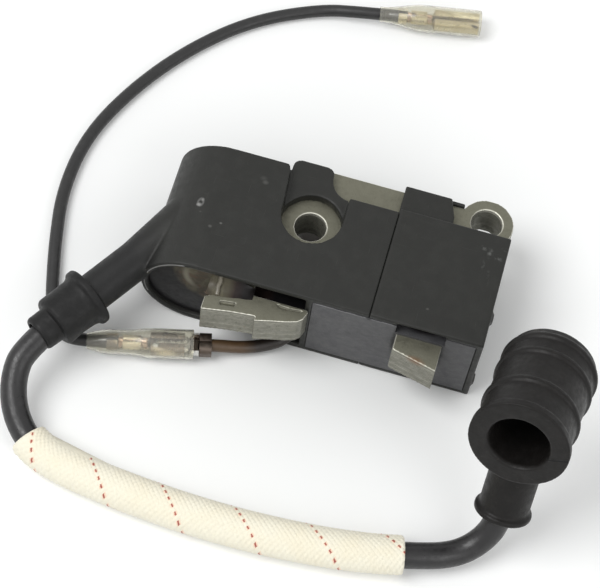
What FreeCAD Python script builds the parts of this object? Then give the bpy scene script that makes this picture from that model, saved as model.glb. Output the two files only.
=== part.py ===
import FreeCAD, Part
import math
import os
import Sketcher
from FreeCAD import Placement, Rotation, Vector

# Ignition coil and electronic module for a small engine, in mm, +Z up.
# The origin is on the left mounting hole's axis, at the underside of the steel core.
# X runs along the core's back bar, Y points away from the flywheel.

os.makedirs("parts", exist_ok=True)
doc = FreeCAD.newDocument("IgnitionCoil")

SIZES = {
    # steel core
    "core_stack": 7.0, "hole_radius": 2.75, "second_hole_x": 29.2, "second_hole_y": 10.05,
    "ear_radius": 4.75, "lobe_radius": 6.2, "bar_front": 4.0, "bar_back": 11.85, "bar_left": -4.9,
    "arm_left": -13.0, "arm_right": -6.0, "arm_front": -2.6, "arm_back": 6.5,
    "pole_left": 19.25, "pole_right": 27.25, "pole_front_left": -18.5, "pole_front_right": -20.44,
    "groove_depth": 0.4,
    # moulded housing
    "base_level": -8.0, "top_level": 11.0, "front_face": -15.6, "seam": 14.2,
    "round_centre": -16.2, "round_level": 1.5, "round_radius": 9.5, "wall": 1.2,
    "coil_back": 8.95, "raised_back": 5.45, "bay": 5.2, "collar_top": 8.9, "collar_low": -1.9,
    "collar_back": 11.55, "collar_left": -5.95, "collar_corner": 1.4, "scallop_x": 5.4,
    "scallop_y": 10.0, "scallop_radius": 3.95, "window_radius": 5.3, "boss_radius": 7.0, "divider_left": 3.2,
    "divider_right": 4.4, "module_right": 33.95, "module_back": 6.15, "cavity_back": 4.0,
    "coil_cavity_back": 7.75, "recess_left": 19.0, "recess_right": 27.6, "recess_low": 7.6,
    "recess_high": 10.4, "recess_depth": 4.8, "edge_radius": 0.6,
    # high-tension tower: its axis starts at tower_x, tower_y, tower_z
    "tower_x": -24.0, "tower_y": -8.48, "tower_z": 4.0, "tower_heading": 236.7, "tower_fall": 5.0,
    "tower_radius": 3.45, "tower_root": 4.6, "tower_end": 22.5,
    # windings round the left leg
    "winding_half": 5.7, "winding_front": -12.6, "winding_back": -6.0, "flange": 0.6,
    "primary_tube": 0.4, "primary_build": 0.7, "secondary_tube": 0.3, "secondary_build": 0.5,
    # trigger winding round the right leg
    "trigger_front": -10.4, "trigger_back": -4.4, "trigger_tube": 0.75, "trigger_build": 1.35,
    "trigger_flange": 2.4,
    # cords
    "lead_radius": 2.25, "sleeve_radius": 3.5, "sleeve_bore": 2.55, "stop_radius": 1.15,
    "brown_radius": 1.1, "running_gap": 0.05,
    # push-on terminals
    "joint_x": -11.2, "joint_y": -21.0, "joint_z": -5.3, "joint_heading": 195.07,
    "end_x": -0.4, "end_y": 56.05, "end_heading": 11.5,
    "tab_width": 2.8, "tab_gauge": 0.8, "channel_width": 4.0, "channel_height": 2.2,
    "channel_wall": 0.3, "channel_short": 6.0, "channel_long": 8.5,
    "cover_radius": 2.65, "cover_wall": 0.35, "cover_neck": 1.5,
    # spark-plug boot: barrel axis from its closed end, stem axis down to the lip
    "barrel_x": 45.01, "barrel_y": -19.4, "barrel_z": 19.6, "barrel_heading": 262.06,
    "barrel_rise": 19.88, "barrel_length": 20.9, "barrel_radius": 7.8, "rib_radius": 8.2,
    "rim_radius": 8.3, "plug_bore": 4.8, "plug_bore_depth": 12.6, "clip_seat": 2.3, "clip_radius": 4.35,
    "stem_x": 44.2, "stem_y": -25.24, "stem_z": 21.73, "stem_heading": 269.2, "stem_fall": 55.3,
    "stem_length": 24.7, "stem_radius": 4.33, "lip_radius": 4.95, "lip_thick": 1.0,
    "stem_socket": 9.0,
    # circuit board
    "board_level": -5.8, "board_thick": 1.2,
}

# plan outlines, corner by corner, seen from above
OUTLINES = {
    "shoe": [(-13.65, -20.8), (-8.7, -19.93), (-5.3, -19.55), (-4.4, -19.46), (-4.35, -20.32),
             (-1.78, -19.63), (0.69, -19.05), (2.63, -18.43), (3.47, -17.67), (3.96, -16.2),
             (3.7, -15.8), (-6.0, -15.8), (-6.0, -2.6), (-13.0, -2.6), (-13.0, -18.1),
             (-13.65, -18.3)],
    "coin": [(-2.26, -16.0), (-0.82, -16.74), (0.94, -16.78), (2.64, -16.54), (3.56, -16.05),
             (2.4, -16.2), (0.9, -16.4), (-0.7, -16.3)],
    "dimple": [(-10.9, -19.1), (-8.2, -18.75), (-8.2, -18.05), (-10.9, -18.4)],
    "bay": [(-5.25, 0), (-5.95, 7.7), (-6.15, 8.4), (-6.6, 8.85), (-6.6, 9.1), (5.3, 9.1), (5.3, 0)],
    "strap": [(14.0, 6.0), (23.6, 6.0), (23.5, 8.5), (22.3, 12.15), (14.0, 12.15)],
}

# cord centrelines: the points that their straight runs would meet at
ROUTES = {
    "lead": [(-40.9, -39.5, -1.2), (-38.3, -45.2, -3.4), (-33.0, -49.5, -4.45),
             (-20.0, -51.7, -4.45), (0.0, -52.9, -4.45), (20.0, -51.5, -4.45),
             (33.4, -48.4, -4.5), (38.8, -46.0, -5.2), (42.3, -43.1, -3.5)],
    "stop": [(-36.7, -26.2, -5.8), (-39.1, -23.95, -6.3), (-41.2, -17.5, -6.75),
             (-43.6, -8.5, -6.75), (-45.6, 2.0, -6.75), (-44.9, 14.0, -6.75),
             (-40.2, 26.0, -6.75), (-33.0, 37.6, -6.75), (-23.4, 47.8, -6.75),
             (-11.5, 54.5, -6.7)],
    "brown": [(2.0, -13.4, -5.3), (0.9, -15.9, -5.4), (-2.8, -17.9, -6.5), (-6.4, -19.5, -6.1)],
}


class Size:
    """A length with the spreadsheet expression that gives it."""

    def __init__(self, text, value):
        self.text = text
        self.value = value

    def __add__(self, other):
        other = size(other)
        return Size(f"({self.text} + {other.text})", self.value + other.value)

    def __sub__(self, other):
        other = size(other)
        return Size(f"({self.text} - {other.text})", self.value - other.value)

    def __mul__(self, factor):
        return Size(f"({self.text} * {factor})", self.value * factor)

    def __neg__(self):
        return Size(f"(0 - {self.text})", -self.value)

    def __radd__(self, other):
        return size(other) + self

    def __rsub__(self, other):
        return size(other) - self


def size(item):
    return item if isinstance(item, Size) else Size(f"({float(item)})", float(item))


sheet = doc.addObject("Spreadsheet::Sheet", "Dims")
cells = {}


def cell(name, value):
    row = len(cells) + 1
    sheet.set(f"A{row}", name)
    sheet.set(f"B{row}", str(value))
    sheet.setAlias(f"B{row}", name)
    cells[name] = Size("Dims." + name, float(value))
    return cells[name]


class Table:
    def __getattr__(self, name):
        return cells[name]


dim = Table()
for name, value in SIZES.items():
    cell(name, value)
outline = {name: [(cell(f"{name}_corner{i}_x", x), cell(f"{name}_corner{i}_y", y))
                  for i, (x, y) in enumerate(corners)] for name, corners in OUTLINES.items()}
route = {name: [tuple(cell(f"{name}_point{i}_{axis}", value) for axis, value in zip("xyz", point))
                for i, point in enumerate(points)] for name, points in ROUTES.items()}
doc.recompute()
nodes = {}


def node(item, label):
    """Names a finished sub-part, which becomes one file."""
    item.Label = label
    nodes[label] = item
    return item


def bind(item, prop, value):
    item.setExpression(prop, size(value).text)


def place(item, x=0, y=0, z=0, heading=0, fall=0):
    """Local X points along the heading, seen from above, and falls below the horizontal."""
    item.setExpression("Placement", (
        f"create(<<placement>>; create(<<vector>>; {size(x).text}; {size(y).text}; {size(z).text});"
        f" create(<<rotation>>; {size(heading).text}; {size(fall).text}; 0))"))
    return item


def box(name, x, y, z):
    """A block between the low and high ends of its three ranges."""
    item = doc.addObject("Part::Box", name)
    for prop, (low, high) in (("Length", x), ("Width", y), ("Height", z)):
        bind(item, prop, size(high) - size(low))
    place(item, x[0], y[0], z[0])
    return item


def post(name, x, y, z, radius):
    """An upright cylinder."""
    item = doc.addObject("Part::Cylinder", name)
    bind(item, "Radius", radius)
    bind(item, "Height", size(z[1]) - size(z[0]))
    place(item, x, y, z[0])
    return item


def lying(name, axis, start, end, across, level, radius):
    """A cylinder along X or Y."""
    item = doc.addObject("Part::Cylinder", name)
    bind(item, "Radius", radius)
    bind(item, "Height", size(end) - size(start))
    if axis == "X":
        item.Placement = Placement(Vector(), Rotation(Vector(0, 1, 0), 90))
        corner = (start, across, level)
    else:
        item.Placement = Placement(Vector(), Rotation(Vector(1, 0, 0), -90))
        corner = (across, start, level)
    for letter, value in zip("xyz", corner):
        bind(item, f"Placement.Base.{letter}", value)
    return item


def fuse(name, *items):
    item = doc.addObject("Part::MultiFuse", name)
    item.Shapes = list(items)
    item.Refine = True
    return item


def cut(name, base, *tools):
    item = doc.addObject("Part::Cut", name)
    item.Base = base
    item.Tool = tools[0] if len(tools) == 1 else fuse(name + "_tools", *tools)
    item.Refine = True
    return item


def body(name):
    item = doc.addObject("PartDesign::Body", name)
    return item


def sketch(owner, name, role, corners):
    """A closed outline on one of the body's origin planes. A corner may also carry the mid-point and
    the radius of the arc that ends there; otherwise its side is straight."""
    item = owner.newObject("Sketcher::SketchObject", name)
    plane = next(f for f in owner.Origin.OriginFeatures if f.Role == role)
    item.AttachmentSupport = [(plane, "")]
    item.MapMode = "FlatFace"
    points = [Vector(size(c[0]).value, size(c[1]).value, 0) for c in corners]
    starts = []
    for i, corner in enumerate(corners):
        first, last = points[i - 1], points[i]
        if len(corner) == 4:
            middle = Vector(size(corner[2][0]).value, size(corner[2][1]).value, 0)
            side = item.addGeometry(Part.Arc(first, middle, last))
            flipped = (item.getPoint(side, 1) - first).Length > 1e-6
        else:
            side = item.addGeometry(Part.LineSegment(first, last))
            flipped = False
        starts.append((side, 2 if flipped else 1, 1 if flipped else 2))
    for i, (side, begin, end) in enumerate(starts):
        after, after_begin, _ = starts[(i + 1) % len(starts)]
        item.addConstraint(Sketcher.Constraint("Coincident", side, end, after, after_begin))
        for kind, value in zip(("DistanceX", "DistanceY"), corners[i][:2]):
            value = size(value)
            tie = item.addConstraint(Sketcher.Constraint(kind, -1, 1, side, end, value.value))
            item.setExpression(f"Constraints[{tie}]", value.text)
        if len(corners[i]) == 4:
            radius = size(corners[i][3])
            tie = item.addConstraint(Sketcher.Constraint("Radius", side, radius.value))
            item.setExpression(f"Constraints[{tie}]", radius.text)
    return item


def rings(owner, name, role, circles):
    item = owner.newObject("Sketcher::SketchObject", name)
    plane = next(f for f in owner.Origin.OriginFeatures if f.Role == role)
    item.AttachmentSupport = [(plane, "")]
    item.MapMode = "FlatFace"
    for x, y, radius in circles:
        x, y, radius = size(x), size(y), size(radius)
        ring = item.addGeometry(Part.Circle(Vector(x.value, y.value, 0), Vector(0, 0, 1), radius.value))
        for kind, value in (("DistanceX", x), ("DistanceY", y)):
            tie = item.addConstraint(Sketcher.Constraint(kind, -1, 1, ring, 3, value.value))
            item.setExpression(f"Constraints[{tie}]", value.text)
        tie = item.addConstraint(Sketcher.Constraint("Radius", ring, radius.value))
        item.setExpression(f"Constraints[{tie}]", radius.text)
    return item


def pad(owner, profile, length, reverse=False):
    item = owner.newObject("PartDesign::Pad", profile.Name + "_pad")
    item.Profile = profile
    bind(item, "Length", length)
    item.Reversed = reverse
    owner.Tip = item
    return item


def pocket(owner, profile, length, reverse=False):
    doc.recompute()
    before = owner.Shape.Volume
    item = owner.newObject("PartDesign::Pocket", profile.Name + "_pocket")
    item.Profile = profile
    bind(item, "Length", length)
    item.Reversed = reverse
    owner.Tip = item
    doc.recompute()
    if not owner.Shape.Volume < before - 1e-3:
        raise RuntimeError(f"{item.Name} removes nothing")
    return item


def spin(owner, name, corners):
    """Turns a half section, given as stations along X and radii, round the X axis."""
    profile = sketch(owner, name, "XZ_Plane", corners)
    item = owner.newObject("PartDesign::Revolution", name + "_turn")
    item.Profile = profile
    item.ReferenceAxis = (profile, ["H_Axis"])
    item.Angle = 360
    owner.Tip = item
    return item


def round_edges(owner, feature, test, radius):
    doc.recompute()
    names = [f"Edge{i}" for i, edge in enumerate(feature.Shape.Edges, 1) if test(edge)]
    item = owner.newObject("PartDesign::Fillet", feature.Name + "_fillet")
    item.Base = (feature, names)
    bind(item, "Radius", radius)
    owner.Tip = item
    return item


def upright(edge):
    """Straight and parallel to Z."""
    start, end = edge.Vertexes[0].Point, edge.Vertexes[-1].Point
    return math.hypot(start.x - end.x, start.y - end.y) < 1e-6 and abs(start.z - end.z) > 1e-6


def half_chord(radius, offset):
    radius, offset = size(radius), size(offset)
    text = f"sqrt({radius.text} * {radius.text} - {offset.text} * {offset.text})"
    return Size(text, math.sqrt(radius.value ** 2 - offset.value ** 2))


def at_level(profile, level):
    """Lifts a sketch off its plane."""
    bind(profile, "AttachmentOffset.Base.z", level)
    return profile


# ---- steel core -------------------------------------------------------------------------------
yoke = body("core_yoke_body")
lobe_left = -half_chord(dim.lobe_radius, dim.arm_front)
lobe_right = half_chord(dim.lobe_radius, dim.bar_front)
ear_low = dim.second_hole_y - half_chord(dim.ear_radius, dim.second_hole_x - dim.pole_right)
ear_left = dim.second_hole_x - half_chord(dim.ear_radius, dim.bar_back - dim.second_hole_y)
yoke_plan = sketch(yoke, "yoke_plan", "XY_Plane", [
    (dim.arm_left, dim.arm_front),
    (lobe_left, dim.arm_front),
    (lobe_right, dim.bar_front, (dim.lobe_radius * 0.53, dim.lobe_radius * -0.848), dim.lobe_radius),
    (dim.pole_left, dim.bar_front),
    (dim.pole_left, dim.pole_front_left),
    (dim.pole_right, dim.pole_front_right),
    (dim.pole_right, ear_low),
    (ear_left, dim.bar_back,
     (dim.second_hole_x + dim.ear_radius * 0.928, dim.second_hole_y + dim.ear_radius * 0.372),
     dim.ear_radius),
    (dim.bar_left, dim.bar_back),
    (dim.bar_left, dim.arm_back),
    (dim.arm_left, dim.arm_back),
])
pad(yoke, yoke_plan, dim.core_stack)
yoke_holes = rings(yoke, "yoke_holes", "XY_Plane", [
    (0, 0, dim.hole_radius), (dim.second_hole_x, dim.second_hole_y, dim.hole_radius)])
pocket(yoke, yoke_holes, dim.core_stack + 1, reverse=True)
node(yoke, "core_yoke")

leg = body("core_leg_body")
pad(leg, sketch(leg, "shoe_plan", "XY_Plane", outline["shoe"]), dim.core_stack)
for mark in ("coin", "dimple"):
    pressed = at_level(sketch(leg, f"{mark}_plan", "XY_Plane", outline[mark]), dim.core_stack)
    pocket(leg, pressed, dim.groove_depth)
node(leg, "core_leg")

# ---- moulded coil housing with its tower ------------------------------------------------------
below, above = dim.base_level - 0.1, dim.top_level + 0.1
shell = fuse(
    "coil_shell",
    lying("coil_round", "Y", dim.front_face, dim.coil_back, dim.round_centre, dim.round_level,
          dim.round_radius),
    box("coil_block", (dim.round_centre, dim.seam), (dim.front_face, dim.coil_back),
        (dim.base_level, dim.top_level)))


def bay(name, heights):
    """Room behind the left hole, open to the back."""
    item = body(name)
    pad(item, sketch(item, name + "_plan", "XY_Plane", outline["bay"]), heights[1] - heights[0])
    return place(item, 0, 0, heights[0])


trimmed = cut(
    "coil_trimmed", shell,
    box("coil_step", (dim.bay, dim.seam + 0.1), (dim.raised_back, dim.coil_back + 0.1), (below, above)),
    post("scallop", dim.scallop_x, dim.scallop_y, (below, above), dim.scallop_radius),
    bay("bay_top", (dim.collar_top, above)), bay("bay_low", (below, dim.collar_low)))
collar = body("collar")
collar_right = dim.scallop_x - dim.scallop_radius
scallop_low = dim.scallop_y - half_chord(dim.scallop_radius, dim.scallop_x - dim.bay)
rounding = dim.collar_corner * (1 - math.sqrt(0.5))
collar_plan = sketch(collar, "collar_plan", "XY_Plane", [
    (dim.collar_left, dim.collar_back - dim.collar_corner,
     (dim.collar_left + rounding, dim.collar_back - rounding), dim.collar_corner),
    (dim.collar_left, -1),
    (dim.bay, -1),
    (dim.bay, scallop_low),
    (collar_right, dim.scallop_y,
     (dim.scallop_x - dim.scallop_radius * math.sqrt(0.5),
      dim.scallop_y - dim.scallop_radius * math.sqrt(0.5)), dim.scallop_radius),
    (collar_right, dim.collar_back - dim.collar_corner),
    (collar_right - dim.collar_corner, dim.collar_back,
     (collar_right - rounding, dim.collar_back - rounding), dim.collar_corner),
    (dim.collar_left + dim.collar_corner, dim.collar_back),
])
pad(collar, collar_plan, dim.collar_top - dim.collar_low)
place(collar, 0, 0, dim.collar_low)


def on_tower(item):
    return place(item, dim.tower_x, dim.tower_y, dim.tower_z, dim.tower_heading, dim.tower_fall)


tower = body("tower")
spin(tower, "tower_section", [(-7, 0), (-7, dim.tower_root), (6, dim.tower_radius),
                              (dim.tower_end, dim.tower_radius), (dim.tower_end, 0)])
on_tower(tower)
tower_bore = on_tower(fuse(
    "tower_bore",
    lying("tower_socket", "X", 13, dim.tower_end + 0.1, 0, 0, dim.lead_radius + dim.running_gap),
    lying("tower_hole", "X", -3, 13.1, 0, 0, 1.05)))
boss_height = (below, above)
boss = post("boss", 0, 0, boss_height, dim.boss_radius)
coil_cavity = cut(
    "coil_cavity",
    fuse("coil_hollow",
         lying("coil_hollow_round", "Y", dim.front_face - 0.1, dim.coil_cavity_back, dim.round_centre,
               dim.round_level, dim.round_radius - dim.wall),
         box("coil_hollow_block", (dim.round_centre, dim.divider_left),
             (dim.front_face - 0.1, dim.coil_cavity_back),
             (dim.base_level + dim.wall, dim.top_level - dim.wall))),
    boss,
    box("boss_block", (dim.collar_left - dim.wall, dim.divider_left + 0.1),
        (-3.5, dim.coil_cavity_back + 0.1), (below, above)))
middle_cavity = cut(
    "middle_cavity",
    box("middle_hollow", (dim.divider_right, dim.seam), (dim.front_face - 0.1, dim.cavity_back),
        (dim.base_level + dim.wall, dim.top_level - dim.wall)),
    boss)
window = post("window", 0, 0, (below, above), dim.window_radius)
leg_room = box("leg_room", (dim.arm_left, dim.arm_right), (dim.arm_front - 3, dim.arm_front + 0.5),
               (0, dim.core_stack))
node(cut("coil_housing_cut", fuse("coil_moulding", trimmed, collar, tower),
         coil_cavity, middle_cavity, window, yoke, leg_room, tower_bore), "coil_housing")

# ---- moulded module housing -------------------------------------------------------------------
strap = body("strap")
pad(strap, sketch(strap, "strap_plan", "XY_Plane", outline["strap"]), dim.collar_top - dim.collar_low)
place(strap, 0, 0, dim.collar_low)
module_cavity = box(
    "module_cavity", (dim.seam, dim.module_right - dim.wall), (dim.front_face - 0.1, dim.cavity_back),
    (dim.base_level + dim.wall, dim.top_level - dim.wall))
recess = box("recess", (dim.recess_left, dim.recess_right),
             (dim.front_face - 0.1, dim.front_face + dim.recess_depth), (dim.recess_low, dim.recess_high))
node(cut(
    "module_housing_cut",
    fuse("module_moulding",
         box("module_block", (dim.seam, dim.module_right), (dim.front_face, dim.module_back),
             (dim.base_level, dim.top_level)),
         strap,
         box("strap_foot", (20.0, 24.8), (dim.bar_back, 12.6), (-0.5, 7.5)),
         box("upper_nib", (dim.module_right - 0.2, dim.module_right + 0.4), (-10.2, -8.6), (9.0, 10.4)),
         box("lower_nib", (dim.module_right - 0.2, dim.module_right + 0.4), (-14.6, -13.0),
             (-5.5, -4.1))),
    module_cavity, yoke, recess), "module_housing")

# ---- coil windings on the left leg ------------------------------------------------------------
leg_x = (dim.arm_left + dim.arm_right) * 0.5
leg_z = dim.core_stack * 0.5
leg_half = dim.core_stack * 0.5


def square(name, half, y):
    half = size(half)
    return box(name, (leg_x - half, leg_x + half), y, (leg_z - half, leg_z + half))


front, back = dim.winding_front, dim.winding_back
inner_front, inner_back = front + dim.flange, back - dim.flange
tube_half = leg_half + dim.primary_tube
primary_half = tube_half + dim.primary_build
node(cut("primary_bobbin_cut",
         fuse("primary_former", square("primary_tube", tube_half, (front, back)),
              square("primary_front", primary_half, (front, inner_front)),
              square("primary_back", primary_half, (inner_back, back))),
         square("primary_core", leg_half, (front - 1, back + 1))), "primary_bobbin")
node(cut("primary_winding_cut", square("primary_wire", primary_half, (inner_front, inner_back)),
         square("primary_inside", tube_half, (front, back))), "primary_winding")
second_half = primary_half + dim.secondary_tube
secondary_half = second_half + dim.secondary_build
ribs = [(front, inner_front), (-10.4, -10.0), (-8.6, -8.2), (inner_back, back)]
node(cut("secondary_bobbin_cut",
         fuse("secondary_former", square("secondary_tube", second_half, (front, back)),
              *[square(f"secondary_rib{i}", dim.winding_half, rib) for i, rib in enumerate(ribs)]),
         square("secondary_core", primary_half, (front - 1, back + 1))), "secondary_bobbin")
gaps = [(a[1], b[0]) for a, b in zip(ribs, ribs[1:])]
node(cut("secondary_winding_cut",
         fuse("secondary_wire", *[square(f"secondary_turns{i}", secondary_half, gap)
                                  for i, gap in enumerate(gaps)]),
         square("secondary_inside", second_half, (front - 1, back + 1))), "secondary_winding")

# ---- high-tension terminal, grommet and short brown lead --------------------------------------
node(on_tower(fuse(
    "ht_terminal_parts",
    lying("terminal_rod", "X", -4, 13.2, 0, 0, 1.0),
    lying("terminal_spike", "X", 13, 20, 0, 0, 0.55),
    lying("terminal_head", "X", -4.4, -3.8, 0, 0, 1.8))), "ht_terminal")

grommet = body("grommet")
mouth = dim.lead_radius + dim.running_gap
spin(grommet, "grommet_section", [
    (15.9, dim.tower_radius), (15.9, 5.1), (16.2, 5.4), (17.2, 5.4), (17.6, 4.8), (18.3, 4.55),
    (23.6, 4.55), (24.1, 4.2), (24.2, 3.2), (27.1, 3.2), (27.5, 2.9), (27.5, mouth),
    (dim.tower_end, mouth), (dim.tower_end, dim.tower_radius)])
node(on_tower(grommet), "tower_grommet")


def frame(x, y, z, heading, fall):
    """The numeric frame whose local X points along the heading and falls."""
    turn = Rotation(heading.value, fall.value, 0)
    return Placement(Vector(x.value, y.value, z.value), turn)


tower_frame = frame(dim.tower_x, dim.tower_y, dim.tower_z, dim.tower_heading, dim.tower_fall)
stem_frame = frame(dim.stem_x, dim.stem_y, dim.stem_z, dim.stem_heading, dim.stem_fall)
level = size(0)
joint_frame = frame(dim.joint_x, dim.joint_y, dim.joint_z, dim.joint_heading, level)
end_frame = frame(dim.end_x, dim.end_y, dim.joint_z, dim.end_heading, level)


def on(place_frame, station):
    return place_frame.multVec(Vector(station, 0, 0))


def centreline(points, first=0.0, last=1.0):
    """Straight runs joined by tangent arcs. Each arc's radius is 0.45 of its shorter run over the
    tangent of half the turn. first and last place the ends along the first and last runs."""
    edges = []
    start = points[0] + (points[1] - points[0]) * first
    finish = points[-2] + (points[-1] - points[-2]) * last
    here = start
    for before, corner, after in zip(points, points[1:], points[2:]):
        come, leave = (corner - before), (after - corner)
        reach = 0.45 * min(come.Length, leave.Length)
        turn = come.getAngle(leave)
        come.normalize()
        leave.normalize()
        radius = reach / math.tan(turn / 2)
        begin, end = corner - come * reach, corner + leave * reach
        inward = (leave - come).normalize()
        middle = corner + inward * (radius / math.cos(turn / 2) - radius)
        edges.append(Part.LineSegment(here, begin).toShape())
        edges.append(Part.Arc(begin, middle, end).toShape())
        print(f"    turn {math.degrees(turn):5.1f} deg, radius {radius:6.1f}, run {(corner - before).Length:5.1f}")
        here = end
    edges.append(Part.LineSegment(here, finish).toShape())
    return Part.Wire(edges)


def hose(path, radius):
    start = path.Edges[0]
    circle = Part.makeCircle(radius, start.Vertexes[0].Point, start.tangentAt(start.FirstParameter))
    solid = path.makePipeShell([Part.Wire([circle])], True, False)
    ratio = solid.Volume / (math.pi * radius ** 2 * path.Length)
    print(f"    length {path.Length:.1f}, volume over section times length {ratio:.4f}")
    return solid


def soft(label, shape):
    item = doc.addObject("Part::Feature", label + "_shape")
    item.Shape = shape
    item.Placement = Placement()
    return node(item, label)


def points_of(name):
    return [Vector(*[c.value for c in point]) for point in route[name]]


print("high-tension lead")
lead_points = ([on(tower_frame, 14), on(tower_frame, 30)] + points_of("lead")
               + [on(stem_frame, dim.stem_length.value + 1.5),
                  on(stem_frame, dim.stem_length.value - dim.stem_socket.value + 0.5)])
lead_path = centreline(lead_points)
spike = Part.makeCylinder(0.55, 6, on(tower_frame, 14), tower_frame.Rotation.multVec(Vector(1, 0, 0)))
soft("ht_lead", hose(lead_path, dim.lead_radius.value).cut(spike))
print("glass-fibre sleeve")
sleeve_path = centreline(lead_points[3:9], 0.52, 0.77)
soft("fibreglass_sleeve", hose(sleeve_path, dim.sleeve_radius.value).cut(
    hose(sleeve_path, dim.sleeve_bore.value)))
print("brown lead")
brown_points = points_of("brown") + [on(joint_frame, -1.2), on(joint_frame, 1.5)]
soft("brown_lead", hose(centreline(brown_points), dim.brown_radius.value))
print("stop wire")
stop_points = ([on(joint_frame, 16), on(joint_frame, 23.1)] + points_of("stop")
               + [on(end_frame, -2.9), on(end_frame, 5.3)])
soft("kill_wire", hose(centreline(stop_points), dim.stop_radius.value))


# ---- push-on terminals ------------------------------------------------------------------------
def on_joint(item):
    return place(item, dim.joint_x, dim.joint_y, dim.joint_z, dim.joint_heading)


def on_end(item):
    return place(item, dim.end_x, dim.end_y, dim.joint_z, dim.end_heading)


def channel(name, mouth_at, length, towards):
    """A rolled receptacle that opens at one end: a flat floor, two curled sides and a slit on top."""
    step = 1 if towards > 0 else -1
    half_wide, half_high = dim.channel_width * 0.5, dim.channel_height * 0.5
    far = mouth_at + length * step

    def span(a, b):
        return (a, b) if step > 0 else (b, a)

    return cut(
        name,
        box(name + "_block", span(mouth_at, far), (-half_wide, half_wide), (-half_high, half_high)),
        box(name + "_slot", span(mouth_at - 0.1 * step, far - 0.4 * step),
            (-half_wide + dim.channel_wall, half_wide - dim.channel_wall),
            (-half_high + dim.channel_wall + 0.1, half_high - dim.channel_wall - 0.1)),
        box(name + "_slit", span(mouth_at - 0.1 * step, far - 0.4 * step), (-0.3, 0.3),
            (0.4, half_high + 0.1)))


def crimp(name, start, end, outer, inner):
    return cut(name, lying(name + "_out", "X", start, end, 0, 0, outer),
               lying(name + "_in", "X", size(start) - 0.1, size(end) + 0.1, 0, 0, inner))


half_tab, half_gauge = dim.tab_width * 0.5, dim.tab_gauge * 0.5
node(on_joint(fuse(
    "male_parts",
    crimp("male_crimp", -0.9, 1.5, 1.5, dim.brown_radius),
    lying("male_end", "X", 1.5, 2.4, 0, 0, 1.5),
    box("male_neck", (2.3, 4.1), (-1.0, 1.0), (-half_gauge, half_gauge)),
    box("male_wings", (2.9, 3.9), (-1.9, 1.9), (-half_gauge, half_gauge)),
    box("male_tab", (4.0, 9.6), (-half_tab, half_tab), (-half_gauge, half_gauge)))), "male_terminal")

node(on_joint(fuse(
    "lower_parts",
    channel("lower_channel", size(4.6), dim.channel_short, 1),
    box("lower_neck", (10.3, 12.0), (-1.0, 1.0), (-0.6, 0.6)),
    lying("lower_barrel", "X", 11.8, 16.0, 0, 0, 1.35),
    crimp("lower_crimp", 15.9, 18.0, 1.5, dim.stop_radius))), "lower_receptacle")

node(on_end(fuse(
    "upper_parts",
    channel("upper_channel", size(18.9), dim.channel_long, -1),
    box("upper_neck", (9.0, 10.7), (-1.0, 1.0), (-0.6, 0.6)),
    lying("upper_barrel", "X", 5.3, 9.2, 0, 0, 1.3),
    crimp("upper_crimp", 3.6, 5.4, 1.45, dim.stop_radius))), "upper_receptacle")

bore_neck = dim.stop_radius + dim.running_gap
cover_bore = dim.cover_radius - dim.cover_wall
lower_cover = body("lower_cover")
spin(lower_cover, "lower_cover_section", [
    (3.0, cover_bore), (3.0, dim.cover_radius), (14.0, dim.cover_radius), (20.0, dim.cover_neck),
    (21.5, dim.cover_neck), (21.5, bore_neck), (20.0, bore_neck), (14.0, cover_bore)])
node(on_joint(lower_cover), "lower_clear_sleeve")
upper_cover = body("upper_cover")
spin(upper_cover, "upper_cover_section", [
    (0.0, bore_neck), (0.0, dim.cover_neck), (1.5, dim.cover_neck), (7.5, dim.cover_radius),
    (19.3, dim.cover_radius), (19.3, cover_bore), (7.5, cover_bore), (1.5, bore_neck)])
node(on_end(upper_cover), "upper_clear_sleeve")


# ---- spark-plug boot --------------------------------------------------------------------------
def on_barrel(item):
    return place(item, dim.barrel_x, dim.barrel_y, dim.barrel_z, dim.barrel_heading, -dim.barrel_rise)


def on_stem(item):
    return place(item, dim.stem_x, dim.stem_y, dim.stem_z, dim.stem_heading, dim.stem_fall)


barrel = body("barrel")
barrel_section = [(0.0, 0.0), (0.0, 6.6), (0.8, 7.5)]
for start, end in ((2.2, 3.4), (6.0, 7.2), (13.3, 14.5)):
    barrel_section += [(start, dim.barrel_radius), (start + 0.25, dim.rib_radius),
                       (end - 0.25, dim.rib_radius), (end, dim.barrel_radius)]
barrel_section += [(dim.barrel_length - 1.7, dim.barrel_radius), (dim.barrel_length - 1.4, dim.rim_radius),
                   (dim.barrel_length, dim.rim_radius), (dim.barrel_length, 0.0)]
spin(barrel, "barrel_section", barrel_section)
on_barrel(barrel)
stem = on_stem(fuse("stem", lying("stem_tube", "X", 0, dim.stem_length, 0, 0, dim.stem_radius),
                    lying("stem_lip", "X", dim.stem_length - dim.lip_thick, dim.stem_length, 0, 0,
                          dim.lip_radius)))
bore_start = dim.barrel_length - dim.plug_bore_depth
seat_start = bore_start - dim.clip_seat
boot_bore = on_barrel(fuse(
    "boot_bore", lying("plug_bore", "X", bore_start, dim.barrel_length + 0.1, 0, 0, dim.plug_bore),
    lying("clip_pocket", "X", seat_start, bore_start + 0.1, 0, 0, dim.clip_radius + 0.05)))
stem_bore = on_stem(fuse(
    "stem_bore", lying("lead_socket", "X", dim.stem_length - dim.stem_socket, dim.stem_length + 0.1,
                       0, 0, dim.lead_radius + dim.running_gap),
    lying("tail_hole", "X", 0, dim.stem_length - dim.stem_socket + 0.1, 0, 0, 0.65)))
node(cut("plug_boot_cut", fuse("boot_moulding", barrel, stem), boot_bore, stem_bore), "plug_boot")

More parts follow.
